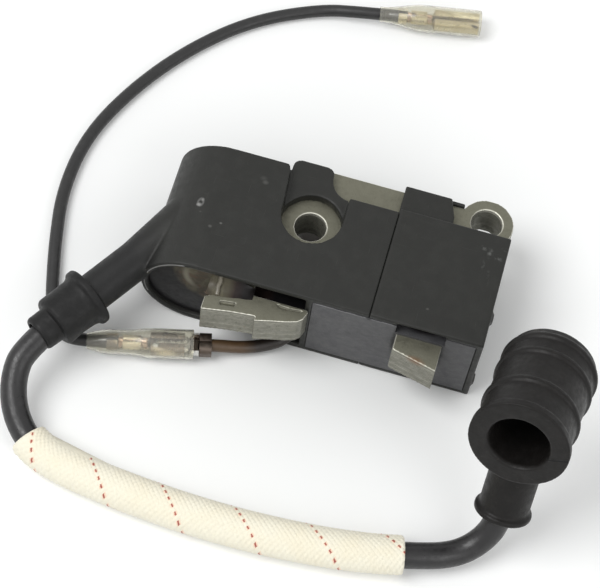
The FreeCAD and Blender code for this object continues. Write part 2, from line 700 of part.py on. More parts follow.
clip_disc = on_barrel(fuse(
    "clip_disc", lying("clip_plate", "X", seat_start, seat_start + 0.6, 0, 0, dim.clip_radius),
    lying("clip_contact", "X", seat_start + 0.5, bore_start - 0.5, 0, 0, 1.6)))
clip_tail = body("clip_tail")
tail_end = dim.stem_length - dim.stem_socket
spin(clip_tail, "clip_tail_section", [(0.2, 0), (0.2, 0.6), (tail_end - 0.6, 0.6), (tail_end, 0.2),
                                      (tail_end, 0)])
node(fuse("clip_parts", clip_disc, on_stem(clip_tail)), "plug_spring_clip")

# ---- electronics in the module ----------------------------------------------------------------
board = body("board")
board_plan = sketch(board, "board_plan", "XY_Plane", [
    (7.6, -14.2), (31.6, -14.2), (31.6, 3.0), (7.6, 3.0)])
pad(board, board_plan, dim.board_thick)
hole_rows = [(9.0 + 3.0 * i, y, 0.45) for i in range(8) for y in (-13.2, 2.0)]
pocket(board, rings(board, "board_holes", "XY_Plane", hole_rows), dim.board_thick + 1, reverse=True)
place(board, 0, 0, dim.board_level)
node(board, "circuit_board")
deck = dim.board_level + dim.board_thick

capacitor = body("capacitor_body")
capacitor_plan = sketch(capacitor, "capacitor_plan", "XY_Plane", [
    (8.2, -12.4), (15.6, -12.4), (15.6, -4.2), (8.2, -4.2)])
capacitor_block = pad(capacitor, capacitor_plan, 9.4)
round_edges(capacitor, capacitor_block, upright, 1.0)
place(capacitor, 0, 0, deck)
node(capacitor, "capacitor")
node(cut("thyristor_cut", post("thyristor_round", 12.0, 0.4, (deck, deck + 4.6), 2.3),
         box("thyristor_flat", (9.0, 15.0), (1.8, 3.0), (deck - 0.1, deck + 4.7))), "thyristor")
node(fuse("resistor_parts", lying("resistor_barrel", "X", 18.0, 23.0, -1.0, deck + 1.1, 0.95),
          post("resistor_leg_left", 18.6, -1.0, (deck, deck + 1.0), 0.3),
          post("resistor_leg_right", 22.4, -1.0, (deck, deck + 1.0), 0.3)), "resistor")
node(fuse("diode_parts", lying("diode_barrel", "X", 18.4, 22.6, -3.6, deck + 0.9, 0.8),
          post("diode_leg_left", 18.9, -3.6, (deck, deck + 0.9), 0.3),
          post("diode_leg_right", 22.1, -3.6, (deck, deck + 0.9), 0.3)), "diode")
node(fuse("ground_parts", box("ground_strip", (25.4, 26.6), (1.0, 1.6), (deck, 0)),
          box("ground_foot", (25.4, 26.6), (0.0, 1.6), (deck, deck + 0.6))), "ground_tab")

# ---- trigger winding on the right leg ---------------------------------------------------------
def round_leg(name, margin, y):
    margin = size(margin)
    return box(name, (dim.pole_left - margin, dim.pole_right + margin), y,
               (-margin, dim.core_stack + margin))


trigger_y = (dim.trigger_front, dim.trigger_back)
turns_y = (dim.trigger_front + dim.flange, dim.trigger_back - dim.flange)
former = dim.trigger_tube
node(cut("trigger_bobbin_cut",
         fuse("trigger_former", round_leg("trigger_tube", former, trigger_y),
              round_leg("trigger_front", dim.trigger_flange, (trigger_y[0], turns_y[0])),
              round_leg("trigger_back", dim.trigger_flange, (turns_y[1], trigger_y[1]))),
         round_leg("trigger_leg", 0, (trigger_y[0] - 1, trigger_y[1] + 1))), "trigger_bobbin")
node(cut("trigger_winding_cut", round_leg("trigger_wire", former + dim.trigger_build, turns_y),
         round_leg("trigger_inside", former, trigger_y)), "trigger_winding")

# ---- casting resin ----------------------------------------------------------------------------
node(cut("coil_potting_cut", coil_cavity,
         box("coil_level", (dim.round_centre - dim.round_radius, dim.divider_left + 0.1),
             (dim.front_face - 0.2, dim.front_face + 0.8), (below, above)),
         square("coil_envelope", dim.winding_half, (front, back)),
         box("coil_dip", (-10.5, dim.divider_left + 0.1), (dim.front_face, front - 0.4), (4.5, above)),
         box("coil_well", (leg_x + dim.winding_half + 0.4, dim.divider_left + 0.1),
             (dim.front_face, -8.5), (4.5, above)),
         leg, yoke, nodes["ht_terminal"], nodes["brown_lead"]), "coil_potting")
node(cut("module_potting_cut", fuse("module_hollow", middle_cavity, module_cavity),
         box("module_level", (dim.divider_right - 0.1, dim.module_right),
             (dim.front_face - 0.2, dim.front_face), (below, above)),
         yoke, round_leg("trigger_envelope", dim.trigger_flange, trigger_y), recess,
         *[nodes[name] for name in ("circuit_board", "capacitor", "thyristor", "resistor", "diode",
                                    "ground_tab")]), "module_potting")

# ---- check and write --------------------------------------------------------------------------
doc.recompute()
for item in doc.Objects:
    if any(word in ("Invalid", "Error") for word in item.State):
        raise RuntimeError(f"{item.Name} ({item.Label}) is {item.State}")
for label, item in sorted(nodes.items()):
    shape = item.Shape
    if shape.isNull() or not shape.isValid():
        raise RuntimeError(f"{label} has no valid shape")
    low = shape.BoundBox
    print(f"{label:22s} solids {len(shape.Solids)} volume {shape.Volume:9.1f}  "
          f"x {low.XMin:6.1f} {low.XMax:6.1f}  y {low.YMin:6.1f} {low.YMax:6.1f}  "
          f"z {low.ZMin:6.1f} {low.ZMax:6.1f}")
    shape.exportStep(f"parts/{label}.step")
print(len(nodes), "nodes")
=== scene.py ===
import math
from bisect import bisect_left

import bmesh
import bpy
from mathutils import Euler, Matrix, Vector


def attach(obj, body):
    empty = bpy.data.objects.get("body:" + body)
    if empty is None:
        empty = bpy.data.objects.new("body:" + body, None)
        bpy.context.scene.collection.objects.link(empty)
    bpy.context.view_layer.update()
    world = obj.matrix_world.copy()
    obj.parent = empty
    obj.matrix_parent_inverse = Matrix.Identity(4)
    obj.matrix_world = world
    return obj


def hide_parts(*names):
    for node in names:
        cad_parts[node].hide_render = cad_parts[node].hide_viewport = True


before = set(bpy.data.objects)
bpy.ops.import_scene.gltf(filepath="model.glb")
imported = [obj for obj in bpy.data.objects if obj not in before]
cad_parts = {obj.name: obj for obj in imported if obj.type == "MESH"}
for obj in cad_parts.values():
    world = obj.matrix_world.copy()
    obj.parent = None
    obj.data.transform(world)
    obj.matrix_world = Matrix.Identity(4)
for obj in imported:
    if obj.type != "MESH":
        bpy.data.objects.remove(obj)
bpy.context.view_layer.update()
MM = 0.001
MODULE, BOOT, STOP = "module_body", "plug_boot_body", "kill_lead_body"
scene = bpy.context.scene


def mm(*values):
    return Vector(values) * MM


# ---- camera -----------------------------------------------------------------------------------
EYE, TURNED = (21.9, -183.7, 327.8), (-28.0, -3.18, -15.56)
camera_data = bpy.data.cameras.new("camera")
camera_data.sensor_width = 36.0
camera_data.lens = 128.6
camera_data.clip_start = 0.01
camera_data.clip_end = 20.0
camera = bpy.data.objects.new("camera", camera_data)
scene.collection.objects.link(camera)
aim = Euler([math.radians(a) for a in TURNED], "XYZ").to_matrix()
camera.matrix_world = Matrix.Translation(mm(*EYE)) @ aim.transposed().to_4x4()
scene.camera = camera
scene.view_settings.view_transform = "Standard"


# ---- directions, places and levels, in mm -----------------------------------------------------
class Axis:
    """A local frame whose X axis points along a heading and falls below the horizontal."""

    def __init__(self, origin, heading, fall):
        turn = Euler((0, math.radians(fall), math.radians(heading)), "XYZ").to_matrix()
        self.matrix = Matrix.Translation(mm(*origin)) @ turn.to_4x4()

    def at(self, x, y=0.0, z=0.0):
        """A place of this frame, given in mm, in the shared frame's metres."""
        return self.matrix @ mm(x, y, z)

    def turned(self, x, y, z):
        """A direction of this frame, in the shared frame."""
        return self.matrix.to_3x3() @ Vector((x, y, z))


tower = Axis((-24.0, -8.48, 4.0), 236.7, 5.0)
joint = Axis((-11.2, -21.0, -5.3), 195.07, 0.0)
end = Axis((-0.4, 56.05, -5.3), 11.5, 0.0)
barrel = Axis((45.01, -19.4, 19.6), 262.06, -19.88)
stem = Axis((44.2, -25.24, 21.73), 269.2, 55.3)
STEM_LENGTH = 24.7
HOLES = ((0.0, 0.0), (29.2, 10.05))
PLASTIC_TOP, STEEL_TOP, SHEET = 11.0, 7.0, 0.5
RESIN_FRONT, GROUND = -15.6, -8.02


# ---- helpers ----------------------------------------------------------------------------------
def link(obj, body, *nodes):
    scene.collection.objects.link(obj)
    if nodes:
        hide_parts(*nodes)
    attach(obj, body)
    return obj


def dye(obj, *finishes):
    """Gives an object these finishes and no others."""
    obj.data.materials.clear()
    for finish in finishes:
        obj.data.materials.append(finish.material)
    return obj


def mesh_object(name, verts, faces, *finishes):
    data = bpy.data.meshes.new(name)
    data.from_pydata([tuple(v) for v in verts], [], faces)
    data.validate()
    data.shade_smooth()
    return dye(bpy.data.objects.new(name, data), *finishes)


def angles(count):
    return [2 * math.pi * k / count for k in range(count)]


def faces_between(rings, count, start=0, loop=False, flip=False):
    """The faces between rings of count vertices. A loop goes on from the last ring to the first."""
    faces = []
    for i in range(rings if loop else rings - 1):
        a, b = start + i * count, start + (i + 1) % rings * count
        for k in range(count):
            m = (k + 1) % count
            faces.append((a + k, b + k, b + m, a + m) if flip else (a + k, a + m, b + m, b + k))
    return faces


def caps(rings, count, start=0):
    """The two faces that close a row of rings."""
    last = start + (rings - 1) * count
    return [tuple(range(start, start + count))[::-1], tuple(range(last, last + count))]


def cord_curve(name, points, radius, finish):
    """A free cord's centreline, with the route's points as its control points."""
    data = bpy.data.curves.new(name, "CURVE")
    data.dimensions = "3D"
    data.resolution_u = 24
    data.bevel_depth = radius * MM
    data.bevel_resolution = 8
    data.use_fill_caps = True
    spline = data.splines.new("NURBS")
    spline.points.add(len(points) - 1)
    for point, place in zip(spline.points, points):
        point.co = (*place, 1.0)
    spline.order_u = 3
    spline.use_endpoint_u = True
    spline.use_smooth = True
    return dye(bpy.data.objects.new(name, data), finish)


def distances(points):
    """How far along a line each of its points lies."""
    run = [0.0]
    for a, b in zip(points, points[1:]):
        run.append(run[-1] + (b - a).length)
    return run


def centreline(obj):
    """The points that a curve object's spline passes through."""
    bare = obj.data.copy()
    bare.bevel_depth = 0.0
    probe = bpy.data.objects.new("probe", bare)
    line = bpy.data.meshes.new_from_object(probe)
    points = [v.co.copy() for v in line.vertices]
    bpy.data.objects.remove(probe)
    bpy.data.curves.remove(bare)
    bpy.data.meshes.remove(line)
    return points


def along(points, run, distance):
    """A point of a line and the direction there."""
    i = min(max(bisect_left(run, distance), 1), len(run) - 1)
    part = (distance - run[i - 1]) / max(run[i] - run[i - 1], 1e-9)
    return points[i - 1].lerp(points[i], part), (points[i] - points[i - 1]).normalized()


def bow(a, b, c, u):
    """A point of the parabola that leaves a towards b and reaches c from b."""
    return a * (1 - u) ** 2 + b * 2 * u * (1 - u) + c * u ** 2


def corner(before, here, after, radius, share, steps):
    """The points of a rounded corner, which takes up no more than a share of either side."""
    come, leave = before - here, after - here
    reach = min(radius, come.length * share, leave.length * share)
    first, last = here + come.normalized() * reach, here + leave.normalized() * reach
    return [bow(first, here, last, k / steps) for k in range(steps + 1)]


def rounded(section, radius, steps=4, closed=True):
    """Rounds the corners of a section of (station, radius) points."""
    result = []
    for i, point in enumerate(section):
        if not closed and i in (0, len(section) - 1):
            result.append(point)
            continue
        around = (Vector(section[j % len(section)]) for j in (i - 1, i, i + 1))
        result += [tuple(place) for place in corner(*around, radius, 0.45, steps)]
    return result


def lathe(name, axis, section, finish, steps=96, ripple=None, closed=True):
    """Turns a list of (station, radius) in mm round an axis. ripple moves a point: it takes the
    station, radius and angle and returns a change of radius in mm."""
    verts = []
    for x, r in section:
        for a in angles(steps):
            grow = ripple(x, r, a) if ripple else 0.0
            verts.append(axis.at(x, (r + grow) * math.cos(a), (r + grow) * math.sin(a)))
    return mesh_object(name, verts, faces_between(len(section), steps, loop=closed), finish)


def noise(x, y=0.0, seed=0):
    """Smooth repeatable unevenness between -1 and 1."""
    total = 0.0
    for k, (f, g) in enumerate(((1.0, 0.7), (2.3, 1.9), (4.1, 3.7))):
        total += math.sin(x * f + seed * 1.7 + k) * math.cos(y * g + seed * 0.9 + 2 * k) / (k + 1)
    return total / 1.83


# ---- materials --------------------------------------------------------------------------------
class Nodes:
    """A node tree, built up a node at a time."""

    def __init__(self, tree):
        self.tree = tree

    def put(self, socket, value):
        """Sets an input to a value, or joins another node's output to it."""
        if isinstance(value, bpy.types.NodeSocket):
            self.tree.links.new(value, socket)
        elif value is not None:
            socket.default_value = value

    def node(self, kind, *values, **named):
        """A new node. Values go to its inputs in turn. A named value goes to the input of that
        name where the name is capitalised, and otherwise to the node's own setting."""
        item = self.tree.nodes.new(kind)
        for name, value in named.items():
            if name.istitle():
                self.put(item.inputs[name], value)
            else:
                setattr(item, name, value)
        for socket, value in zip(item.inputs, values):
            self.put(socket, value)
        return item

    def math(self, operation, a, b=None):
        return self.node("ShaderNodeMath", a, b, operation=operation).outputs[0]

    def vector(self, operation, a, b=None):
        return self.node("ShaderNodeVectorMath", a, b, operation=operation).outputs

    def times(self, first, *others):
        for other in others:
            first = self.math("MULTIPLY", first, other)
        return first

    def spread(self, value, low, high, first=0.0, last=1.0, kind="LINEAR"):
        """Takes low to first and high to last, and holds still beyond them."""
        return self.node("ShaderNodeMapRange", value, low, high, first, last,
                         interpolation_type=kind).outputs["Result"]

    def seen(self):
        """1 for what the camera sees, straight, through glass or in a reflection."""
        rays = self.node("ShaderNodeLightPath").outputs
        direct = self.math("MAXIMUM", rays["Is Camera Ray"], rays["Is Transmission Ray"])
        return self.math("MAXIMUM", direct, rays["Is Glossy Ray"])


class Finish(Nodes):
    """A procedural material, built up a layer at a time in the object's own coordinates. Lengths
    and places are in mm."""

    def __init__(self, name, colour, roughness, metallic=0.0, **sockets):
        self.material = bpy.data.materials.new(name)
        self.material.use_nodes = True
        super().__init__(self.material.node_tree)
        self.colour = self.material.diffuse_color = (*colour, 1.0)
        self.height = None
        self.shader = self.tree.nodes["Principled BSDF"].inputs
        self.put(self.shader["Base Color"], self.colour)
        self.put(self.shader["Roughness"], roughness)
        self.put(self.shader["Metallic"], metallic)
        for key, value in sockets.items():
            self.put(self.shader[key.replace("_", " ")], value)
        coordinates = self.node("ShaderNodeTexCoord").outputs
        self.place, self.normal = coordinates["Object"], coordinates["Normal"]

    def paint(self, mask, colour, strength=1.0):
        """Lays a colour over what is there, where mask is 1."""
        if strength != 1.0:
            mask = self.times(mask, strength)
        item = self.node("ShaderNodeMix", mask, data_type="RGBA")
        self.put(item.inputs[6], self.colour)
        self.put(item.inputs[7], (*colour, 1.0))
        self.colour = item.outputs[2]
        self.put(self.shader["Base Color"], self.colour)

    def rough(self, mask, low, high):
        self.put(self.shader["Roughness"], self.spread(mask, 0, 1, low, high))

    def bump(self, mask, distance, strength=1.0, inverted=False):
        """Raises the surface by distance where mask is 1, or lowers it there when inverted."""
        item = self.node("ShaderNodeBump", invert=inverted, Strength=strength,
                         Distance=distance * MM, Height=mask, Normal=self.height)
        self.height = item.outputs["Normal"]
        self.put(self.shader["Normal"], self.height)

    def scaled(self, *scale):
        return self.node("ShaderNodeMapping", self.place, Scale=scale).outputs["Vector"]

    def cloud(self, size, detail=4, low=0.3, high=0.7, rough=0.55, warp=0.0):
        """Noise whose features are about size, one length or three, spread from low to high."""
        if isinstance(size, (int, float)):
            size = (size, size, size)
        item = self.node("ShaderNodeTexNoise", Vector=self.scaled(*(1 / (s * MM) for s in size)),
                         Scale=1.0, Detail=detail, Roughness=rough, Distortion=warp)
        return self.spread(item.outputs["Fac"], low, high)

    def part(self, source, letter):
        return self.node("ShaderNodeSeparateXYZ", source).outputs[letter]

    def between(self, letter, low, high, first=0.0, last=1.0):
        """From first to last as the place along an axis goes from low to high."""
        return self.spread(self.part(self.place, letter), low * MM, high * MM, first, last)

    def level(self, low, high):
        """From 0 to 1 as the surface tips from low to high: 0 stands upright and 1 lies level."""
        return self.spread(self.math("ABSOLUTE", self.part(self.normal, "Z")), low, high)

    def spot(self, centre, radius, soft, squash=(1.0, 1.0, 1.0)):
        """1 within radius of a place, with an edge that fades over soft to either side. squash
        scales the axes."""
        near = self.vector("SUBTRACT", self.place, mm(*centre))[0]
        far = self.vector("LENGTH", self.vector("MULTIPLY", near, squash)[0])["Value"]
        return self.spread(far, (radius + soft) * MM, (radius - soft) * MM)

    def spots(self, axis, *rows):
        """Paints spots, each given as a place of the axis, radius, soft, squash and colour."""
        for place, radius, soft, squash, colour in rows:
            self.paint(self.spot(axis.at(*place) / MM, radius, soft, squash), colour)

    def ring(self, centre, radius, width, squash=(1.0, 1.0, 1.0)):
        """A round line of the given width."""
        outer, inner = (self.spot(centre, radius + half, width * 0.3, squash)
                        for half in (width * 0.5, -width * 0.5))
        return self.math("SUBTRACT", outer, inner)

    def slit(self, start, ahead, beside, width):
        """1 on a thin straight line that leaves a place, given in metres, along one direction."""
        near = self.vector("SUBTRACT", self.place, start)[0]
        far, off = (self.vector("DOT_PRODUCT", near, way)["Value"] for way in (ahead, beside))
        line = self.spread(self.times(off, off), (0.65 * width * MM) ** 2, (0.35 * width * MM) ** 2)
        return self.times(line, self.spread(far, 0.0, 0.3 * MM))


def shade(colour, factor, lift=0.0):
    return tuple(c * factor + lift for c in colour)


def housing_plastic():
    """Black moulding with fine scratches and painted shade on the tower. Its top has the gate's mark,
    specks and scuffs.
    """
    colour = (0.0180, 0.0184, 0.0164)
    f = Finish("moulded_housing", colour, 0.46, Specular_IOR_Level=0.3)
    f.paint(f.cloud(2.6, 6, 0.46, 0.72, 0.65), shade(colour, 1.6, 0.006), 0.30)
    scratch, cross = f.cloud((0.10, 5.0, 0.5), 2, 0.69, 0.76), f.cloud((6.0, 0.12, 0.5), 2, 0.70, 0.77)
    f.paint(f.math("MAXIMUM", scratch, cross), (0.30, 0.30, 0.29), 0.07)
    f.rough(f.cloud(1.3, 5), 0.38, 0.58)
    f.bump(f.cloud(0.22, 3), 0.012)
    f.bump(f.cloud(3.5, 2), 0.05, 0.6)
    # Painted shade: the tower, low under the housing's rounded side, is darkened.
    f.paint(f.spot((-30.5, -16.5, 1.5), 7.2, 2.6, (1.0, 0.62, 0.7)), (0.0075, 0.0075, 0.0082), 0.75)
    gate = f.ring((-19.0, -3.0, PLASTIC_TOP), 0.52, 0.34, (1.1, 0.75, 0.3))
    f.paint(gate, (0.17, 0.17, 0.165), 0.55)
    f.paint(f.spot((-19.2, -3.5, PLASTIC_TOP), 0.24, 0.22, (0.8, 1.0, 0.3)), (0.34, 0.34, 0.33))
    f.paint(f.spot((-18.75, -2.5, PLASTIC_TOP), 0.16, 0.16, (1.0, 0.7, 0.3)), (0.24, 0.24, 0.23))
    f.bump(gate, 0.05)
    f.bump(f.spot((-19.0, -3.0, PLASTIC_TOP), 0.35, 0.2), 0.08, inverted=True)
    for x, y, size, strength in ((-16.1, -7.3, 0.20, 0.4), (-14.5, -6.2, 0.14, 0.7),
                                 (23.2, -11.5, 0.16, 0.35), (-18.5, -4.9, 0.12, 0.3),
                                 (-9.4, 3.9, 0.30, 0.3), (-9.9, 4.6, 0.35, 0.15)):
        speck = f.spot((x, y, PLASTIC_TOP), size, size * 0.8, (0.8, 1.0, 0.3))
        f.paint(speck, (0.17, 0.17, 0.16), strength)
    for x, y, size, wide, deep, strength in (
            (29.9, 2.9, 0.55, 1.0, 1.6, 0.30), (31.0, 2.1, 0.60, 1.6, 0.9, 0.32),
            (32.6, 1.5, 0.50, 0.9, 1.8, 0.30), (33.4, 3.6, 0.45, 0.8, 1.8, 0.22),
            (30.3, -0.4, 0.50, 2.2, 0.7, 0.16), (31.5, -1.9, 0.45, 2.0, 0.8, 0.16)):
        scuff = f.spot((x, y, PLASTIC_TOP), size, size * 0.7, (wide, deep, 0.3))
        f.paint(f.times(scuff, f.cloud(0.7, 4, 0.42, 0.60)), (0.26, 0.27, 0.26), strength)
    return f


def laminated_steel():
    """Stamped sheets stacked along Z, with rust, press marks, painted shade in the recesses and a worn
    upper edge with a painted highlight.
    """
    colour = (0.335, 0.330, 0.275)
    f = Finish("laminated_steel", colour, 0.42, 0.62)
    stack = f.times(f.part(f.place, "Z"), 1 / (SHEET * MM))
    dull = f.node("ShaderNodeTexWhiteNoise", noise_dimensions="1D", W=f.math("FLOOR", stack))
    side = f.level(0.6, 0.4)
    f.paint(f.times(dull.outputs["Value"], side), shade(colour, 0.45), 0.55)
    gap = f.times(f.spread(f.math("PINGPONG", stack, 0.5), 0.10, 0.02), side)
    f.paint(gap, (0.03, 0.028, 0.022))
    f.paint(f.cloud(1.8, 6, 0.42, 0.62, 0.65), shade(colour, 0.55), 0.45)
    f.paint(f.cloud(0.5, 4, 0.60, 0.68), (0.05, 0.048, 0.035), 0.5)
    f.paint(f.cloud(1.1, 5, 0.66, 0.72, 0.7), (0.16, 0.065, 0.022), 0.75)
    f.rough(f.cloud(0.9, 5), 0.32, 0.62)
    f.paint(f.level(0.90, 0.99), (0.132, 0.129, 0.092), 0.80)
    f.bump(gap, 0.04, inverted=True)
    f.bump(f.cloud((0.09, 3.0, 0.09), 3, 0.35, 0.65), 0.006)
    f.bump(f.cloud(0.35), 0.010)
    f.paint(f.spot((23.3, -19.8, STEEL_TOP), 0.9, 0.7, (0.7, 1.2, 1.0)), (0.20, 0.085, 0.030), 0.8)
    # Painted shade: the floors of the shallow pressed recesses, just below the top, are darkened.
    recess_shade = f.times(f.between("Z", STEEL_TOP - 0.10, STEEL_TOP - 0.25), f.level(0.5, 0.8),
                   f.between("Z", STEEL_TOP - 0.7, STEEL_TOP - 0.5))
    f.paint(recess_shade, (0.085, 0.082, 0.055), 0.8)
    # The rounded upper edges are bare worn steel with a painted highlight: near-white, dimmer on the poles
    # and in the pressed spots.
    worn = f.times(f.level(0.20, 0.45), f.level(0.96, 0.86),
                   f.between("Z", STEEL_TOP - 0.9, STEEL_TOP - 0.5))
    pressed = f.math("MAXIMUM", f.spot((-9.5, -18.6, 6.8), 1.7, 0.3, (1.0, 1.5, 1.0)),
                     f.spot((0.7, -16.45, 6.8), 3.1, 0.2, (1.0, 3.6, 1.0)))
    bare = f.math("SUBTRACT", f.between("X", 14, 12, 0.45, 1.0), pressed)
    f.paint(f.times(worn, bare), (0.80, 0.79, 0.70))
    f.paint(f.times(worn, pressed), (0.45, 0.44, 0.36), 0.12)
    f.paint(f.spot((-8.45, -18.35, STEEL_TOP), 0.16, 0.14, (1.0, 0.6, 0.5)), (0.03, 0.03, 0.025))
    for x, y in HOLES:
        glint = f.times(f.ring((x, y, STEEL_TOP), 2.88, 0.24, (1.0, 1.0, 2.0)),
                        f.spot((x + 1.2, y + 2.0, STEEL_TOP), 3.0, 1.0))
        f.paint(glint, (0.62, 0.61, 0.53))
    return f


def amber_resin():
    """Dark resin with painted light: a lit, cloudy upper part, a painted highlight on a curve, bright spots
    painted as reflections of the windings and painted shade over the cavity at the right.
    """
    f = Finish("amber_resin", (0.0095, 0.0090, 0.0098), 0.38, Specular_IOR_Level=0.25)
    # Painted light: the upper part is lit, with cloudy changes in its colour; the rest stays dark.
    painted_light = f.spot((-12.3, -15.3, 6.9), 7.3, 0.8, (1.0, 0.35, 1.0))
    f.paint(painted_light, (0.052, 0.043, 0.030))
    f.paint(f.times(painted_light, f.cloud((1.6, 3.0, 3.4), 4, 0.44, 0.62, warp=0.5)), (0.098, 0.090, 0.058))
    f.paint(f.times(painted_light, f.cloud((2.6, 3.0, 1.2), 4, 0.52, 0.66, warp=0.8)), (0.080, 0.050, 0.034))
    # A painted highlight along a curve at the left.
    lens = f.times(f.ring((-12.4, -14.8, 6.8), 5.6, 1.0, (1.0, 0.3, 1.0)),
                   f.spot((-17.7, -14.8, 5.2), 2.2, 1.2, (1.0, 0.3, 0.8)))
    f.paint(lens, (0.21, 0.20, 0.155), 0.8)
    # Two short bright streaks, each of two spots, painted as reflections of the windings.
    for x, z in ((-14.3, 1.5), (-13.9, 1.3), (-13.4, 2.2), (-13.0, 2.0)):
        f.paint(f.spot((x, -14.8, z), 0.22, 0.2, (1.0, 0.3, 1.0)), (0.27, 0.20, 0.14), 0.7)
    f.paint(f.spot((-9.9, -16.0, 7.8), 0.9, 0.9, (1.2, 0.4, 0.4)), (0.070, 0.064, 0.042))
    # Painted shade over the deep cavity at the right.
    f.paint(f.spot((-6.2, -16.0, 7.4), 3.4, 0.7, (1.0, 0.3, 0.3)), (0.020, 0.012, 0.010))
    f.paint(f.spot((-5.4, -16.0, 7.8), 2.9, 0.9, (1.0, 0.4, 0.8)), (0.005, 0.004, 0.004))
    f.rough(f.cloud(0.8), 0.28, 0.46)
    f.bump(f.cloud(2.6, 2), 0.06, 0.6)
    return f


def grey_resin():
    """Flush resin with a pinhole, painted shade in the recess above the pole and a seam at either side of
    it.
    """
    f = Finish("grey_resin", (0.081, 0.081, 0.0845), 0.42, Specular_IOR_Level=0.3)
    f.paint(f.cloud(2.4, 5, 0.48, 0.70), (0.064, 0.064, 0.069))
    f.paint(f.spot((14.2, RESIN_FRONT, 9.5), 0.25, 0.25), (0.012, 0.012, 0.012))
    # Painted shade in the recess above the pole.
    f.paint(f.spot((23.3, -12.4, 9.2), 2.6, 0.3, (0.55, 1.0, 1.0)), (0.016, 0.013, 0.014))
    for x in (19.0, 27.45):
        f.paint(f.spot((x, RESIN_FRONT, 4.2), 0.30, 0.22, (1.0, 1.0, 0.09)), (0.010, 0.010, 0.010))
    f.paint(f.cloud(0.45, 3, 0.68, 0.74), (0.13, 0.13, 0.13), 0.35)
    f.rough(f.cloud(1.1), 0.30, 0.52)
    f.bump(f.cloud(4.0, 3), 0.12, 0.7)
    f.bump(f.cloud(0.4, 3, 0.60, 0.70), 0.03, inverted=True)
    return f


def rubber(name, colour, roughness):
    f = Finish(name, colour, roughness, Specular_IOR_Level=0.22)
    f.paint(f.cloud(2.2, 6, 0.46, 0.70, 0.65), shade(colour, 1.9, 0.003), 0.5)
    f.paint(f.cloud(0.35, 4, 0.64, 0.72), (0.09, 0.08, 0.07), 0.15)
    f.rough(f.cloud(1.0, 5), roughness - 0.10, roughness + 0.14)
    f.bump(f.cloud(0.16, 3), 0.010)
    f.bump(f.cloud(1.7, 3), 0.045, 0.7)
    return f


def jacket(name, colour, roughness):
    """An extruded plastic cover: nearly smooth, with slight rubs."""
    f = Finish(name, colour, roughness)
    f.paint(f.cloud(1.5, 5, 0.50, 0.74, 0.6), shade(colour, 1.8, 0.006), 0.5)
    f.rough(f.cloud(0.8), roughness - 0.08, roughness + 0.14)
    f.bump(f.cloud(0.9, 3), 0.02)
    f.bump(f.cloud(0.12, 2), 0.003)
    return f


def metal(name, colour, roughness, stain):
    f = Finish(name, colour, roughness, 1.0)
    f.paint(f.cloud(1.6, 5, 0.45, 0.68, 0.6), stain, 0.6)
    f.rough(f.cloud(0.7, 5), roughness - 0.1, roughness + 0.18)
    f.bump(f.cloud((0.07, 0.9, 0.4), 3, 0.35, 0.65), 0.005)
    f.bump(f.cloud(0.5, 3), 0.012)
    return f


housing_finish, steel = housing_plastic(), laminated_steel()
amber, potting = amber_resin(), grey_resin()
grommet_rubber = rubber("grommet_rubber", (0.0095, 0.0095, 0.0095), 0.50)
boot_rubber = rubber("boot_rubber", (0.0078, 0.0070, 0.0064), 0.42)
mouth_slit = boot_rubber.slit(barrel.at(20.88, 4.7, -0.75), barrel.turned(0.0, 0.916, 0.401),
                              barrel.turned(0.0, -0.401, 0.916), 0.42)
mouth_slit = boot_rubber.times(mouth_slit, boot_rubber.spot(barrel.at(21.6) / MM, 8.5, 0.3))
boot_rubber.paint(mouth_slit, (0.0016, 0.0014, 0.0013))
boot_rubber.bump(mouth_slit, 0.10, inverted=True)

lead_cover = jacket("lead_cover", (0.0125, 0.012, 0.0125), 0.34)
wire_cover = jacket("wire_cover", (0.015, 0.015, 0.015), 0.40)
brown_cover = jacket("brown_cover", (0.078, 0.046, 0.022), 0.40)
# Painted shade: the brown lead is darkened near where it leaves the housing.
brown_cover.paint(brown_cover.spot((2.5, -15.5, -5.4), 8.2, 1.4), (0.017, 0.012, 0.009))

braid = Finish("glass_braid", (0.90, 0.86, 0.71), 0.62, Sheen_Weight=0.25)
braid.paint(braid.cloud(5.0, 4, 0.42, 0.66), (0.88, 0.80, 0.60), 0.4)
braid.paint(braid.cloud(0.6, 4, 0.58, 0.70), (0.74, 0.68, 0.52), 0.35)
braid.bump(braid.cloud(0.10, 3), 0.03)
tracer = Finish("tracer_thread", (0.33, 0.055, 0.035), 0.60, Sheen_Weight=0.2)
tracer.paint(tracer.cloud(0.5, 4, 0.45, 0.65), (0.55, 0.18, 0.11), 0.5)
tracer_edge = Finish("tracer_edge", (0.90, 0.66, 0.50), 0.60, Sheen_Weight=0.2)
tracer_edge.paint(tracer_edge.cloud(0.5, 4, 0.45, 0.65), (0.88, 0.76, 0.60))
for thread in (tracer, tracer_edge):
    thread.bump(thread.cloud(0.10, 3), 0.02)

brass = metal("brass_strip", (0.66, 0.52, 0.33), 0.26, (0.42, 0.30, 0.17))
tinned = metal("tinned_strip", (0.74, 0.73, 0.70), 0.24, (0.46, 0.45, 0.43))
spring_steel = metal("spring_steel", (0.42, 0.42, 0.42), 0.28, (0.24, 0.22, 0.19))
copper_strand = metal("copper_strand", (0.60, 0.44, 0.33), 0.35, (0.30, 0.20, 0.15))
crimp_metal = metal("crimp_metal", (0.13, 0.105, 0.088), 0.38, (0.060, 0.047, 0.040))
push_on_metal = metal("push_on_metal", (0.27, 0.225, 0.185), 0.30, (0.15, 0.12, 0.10))
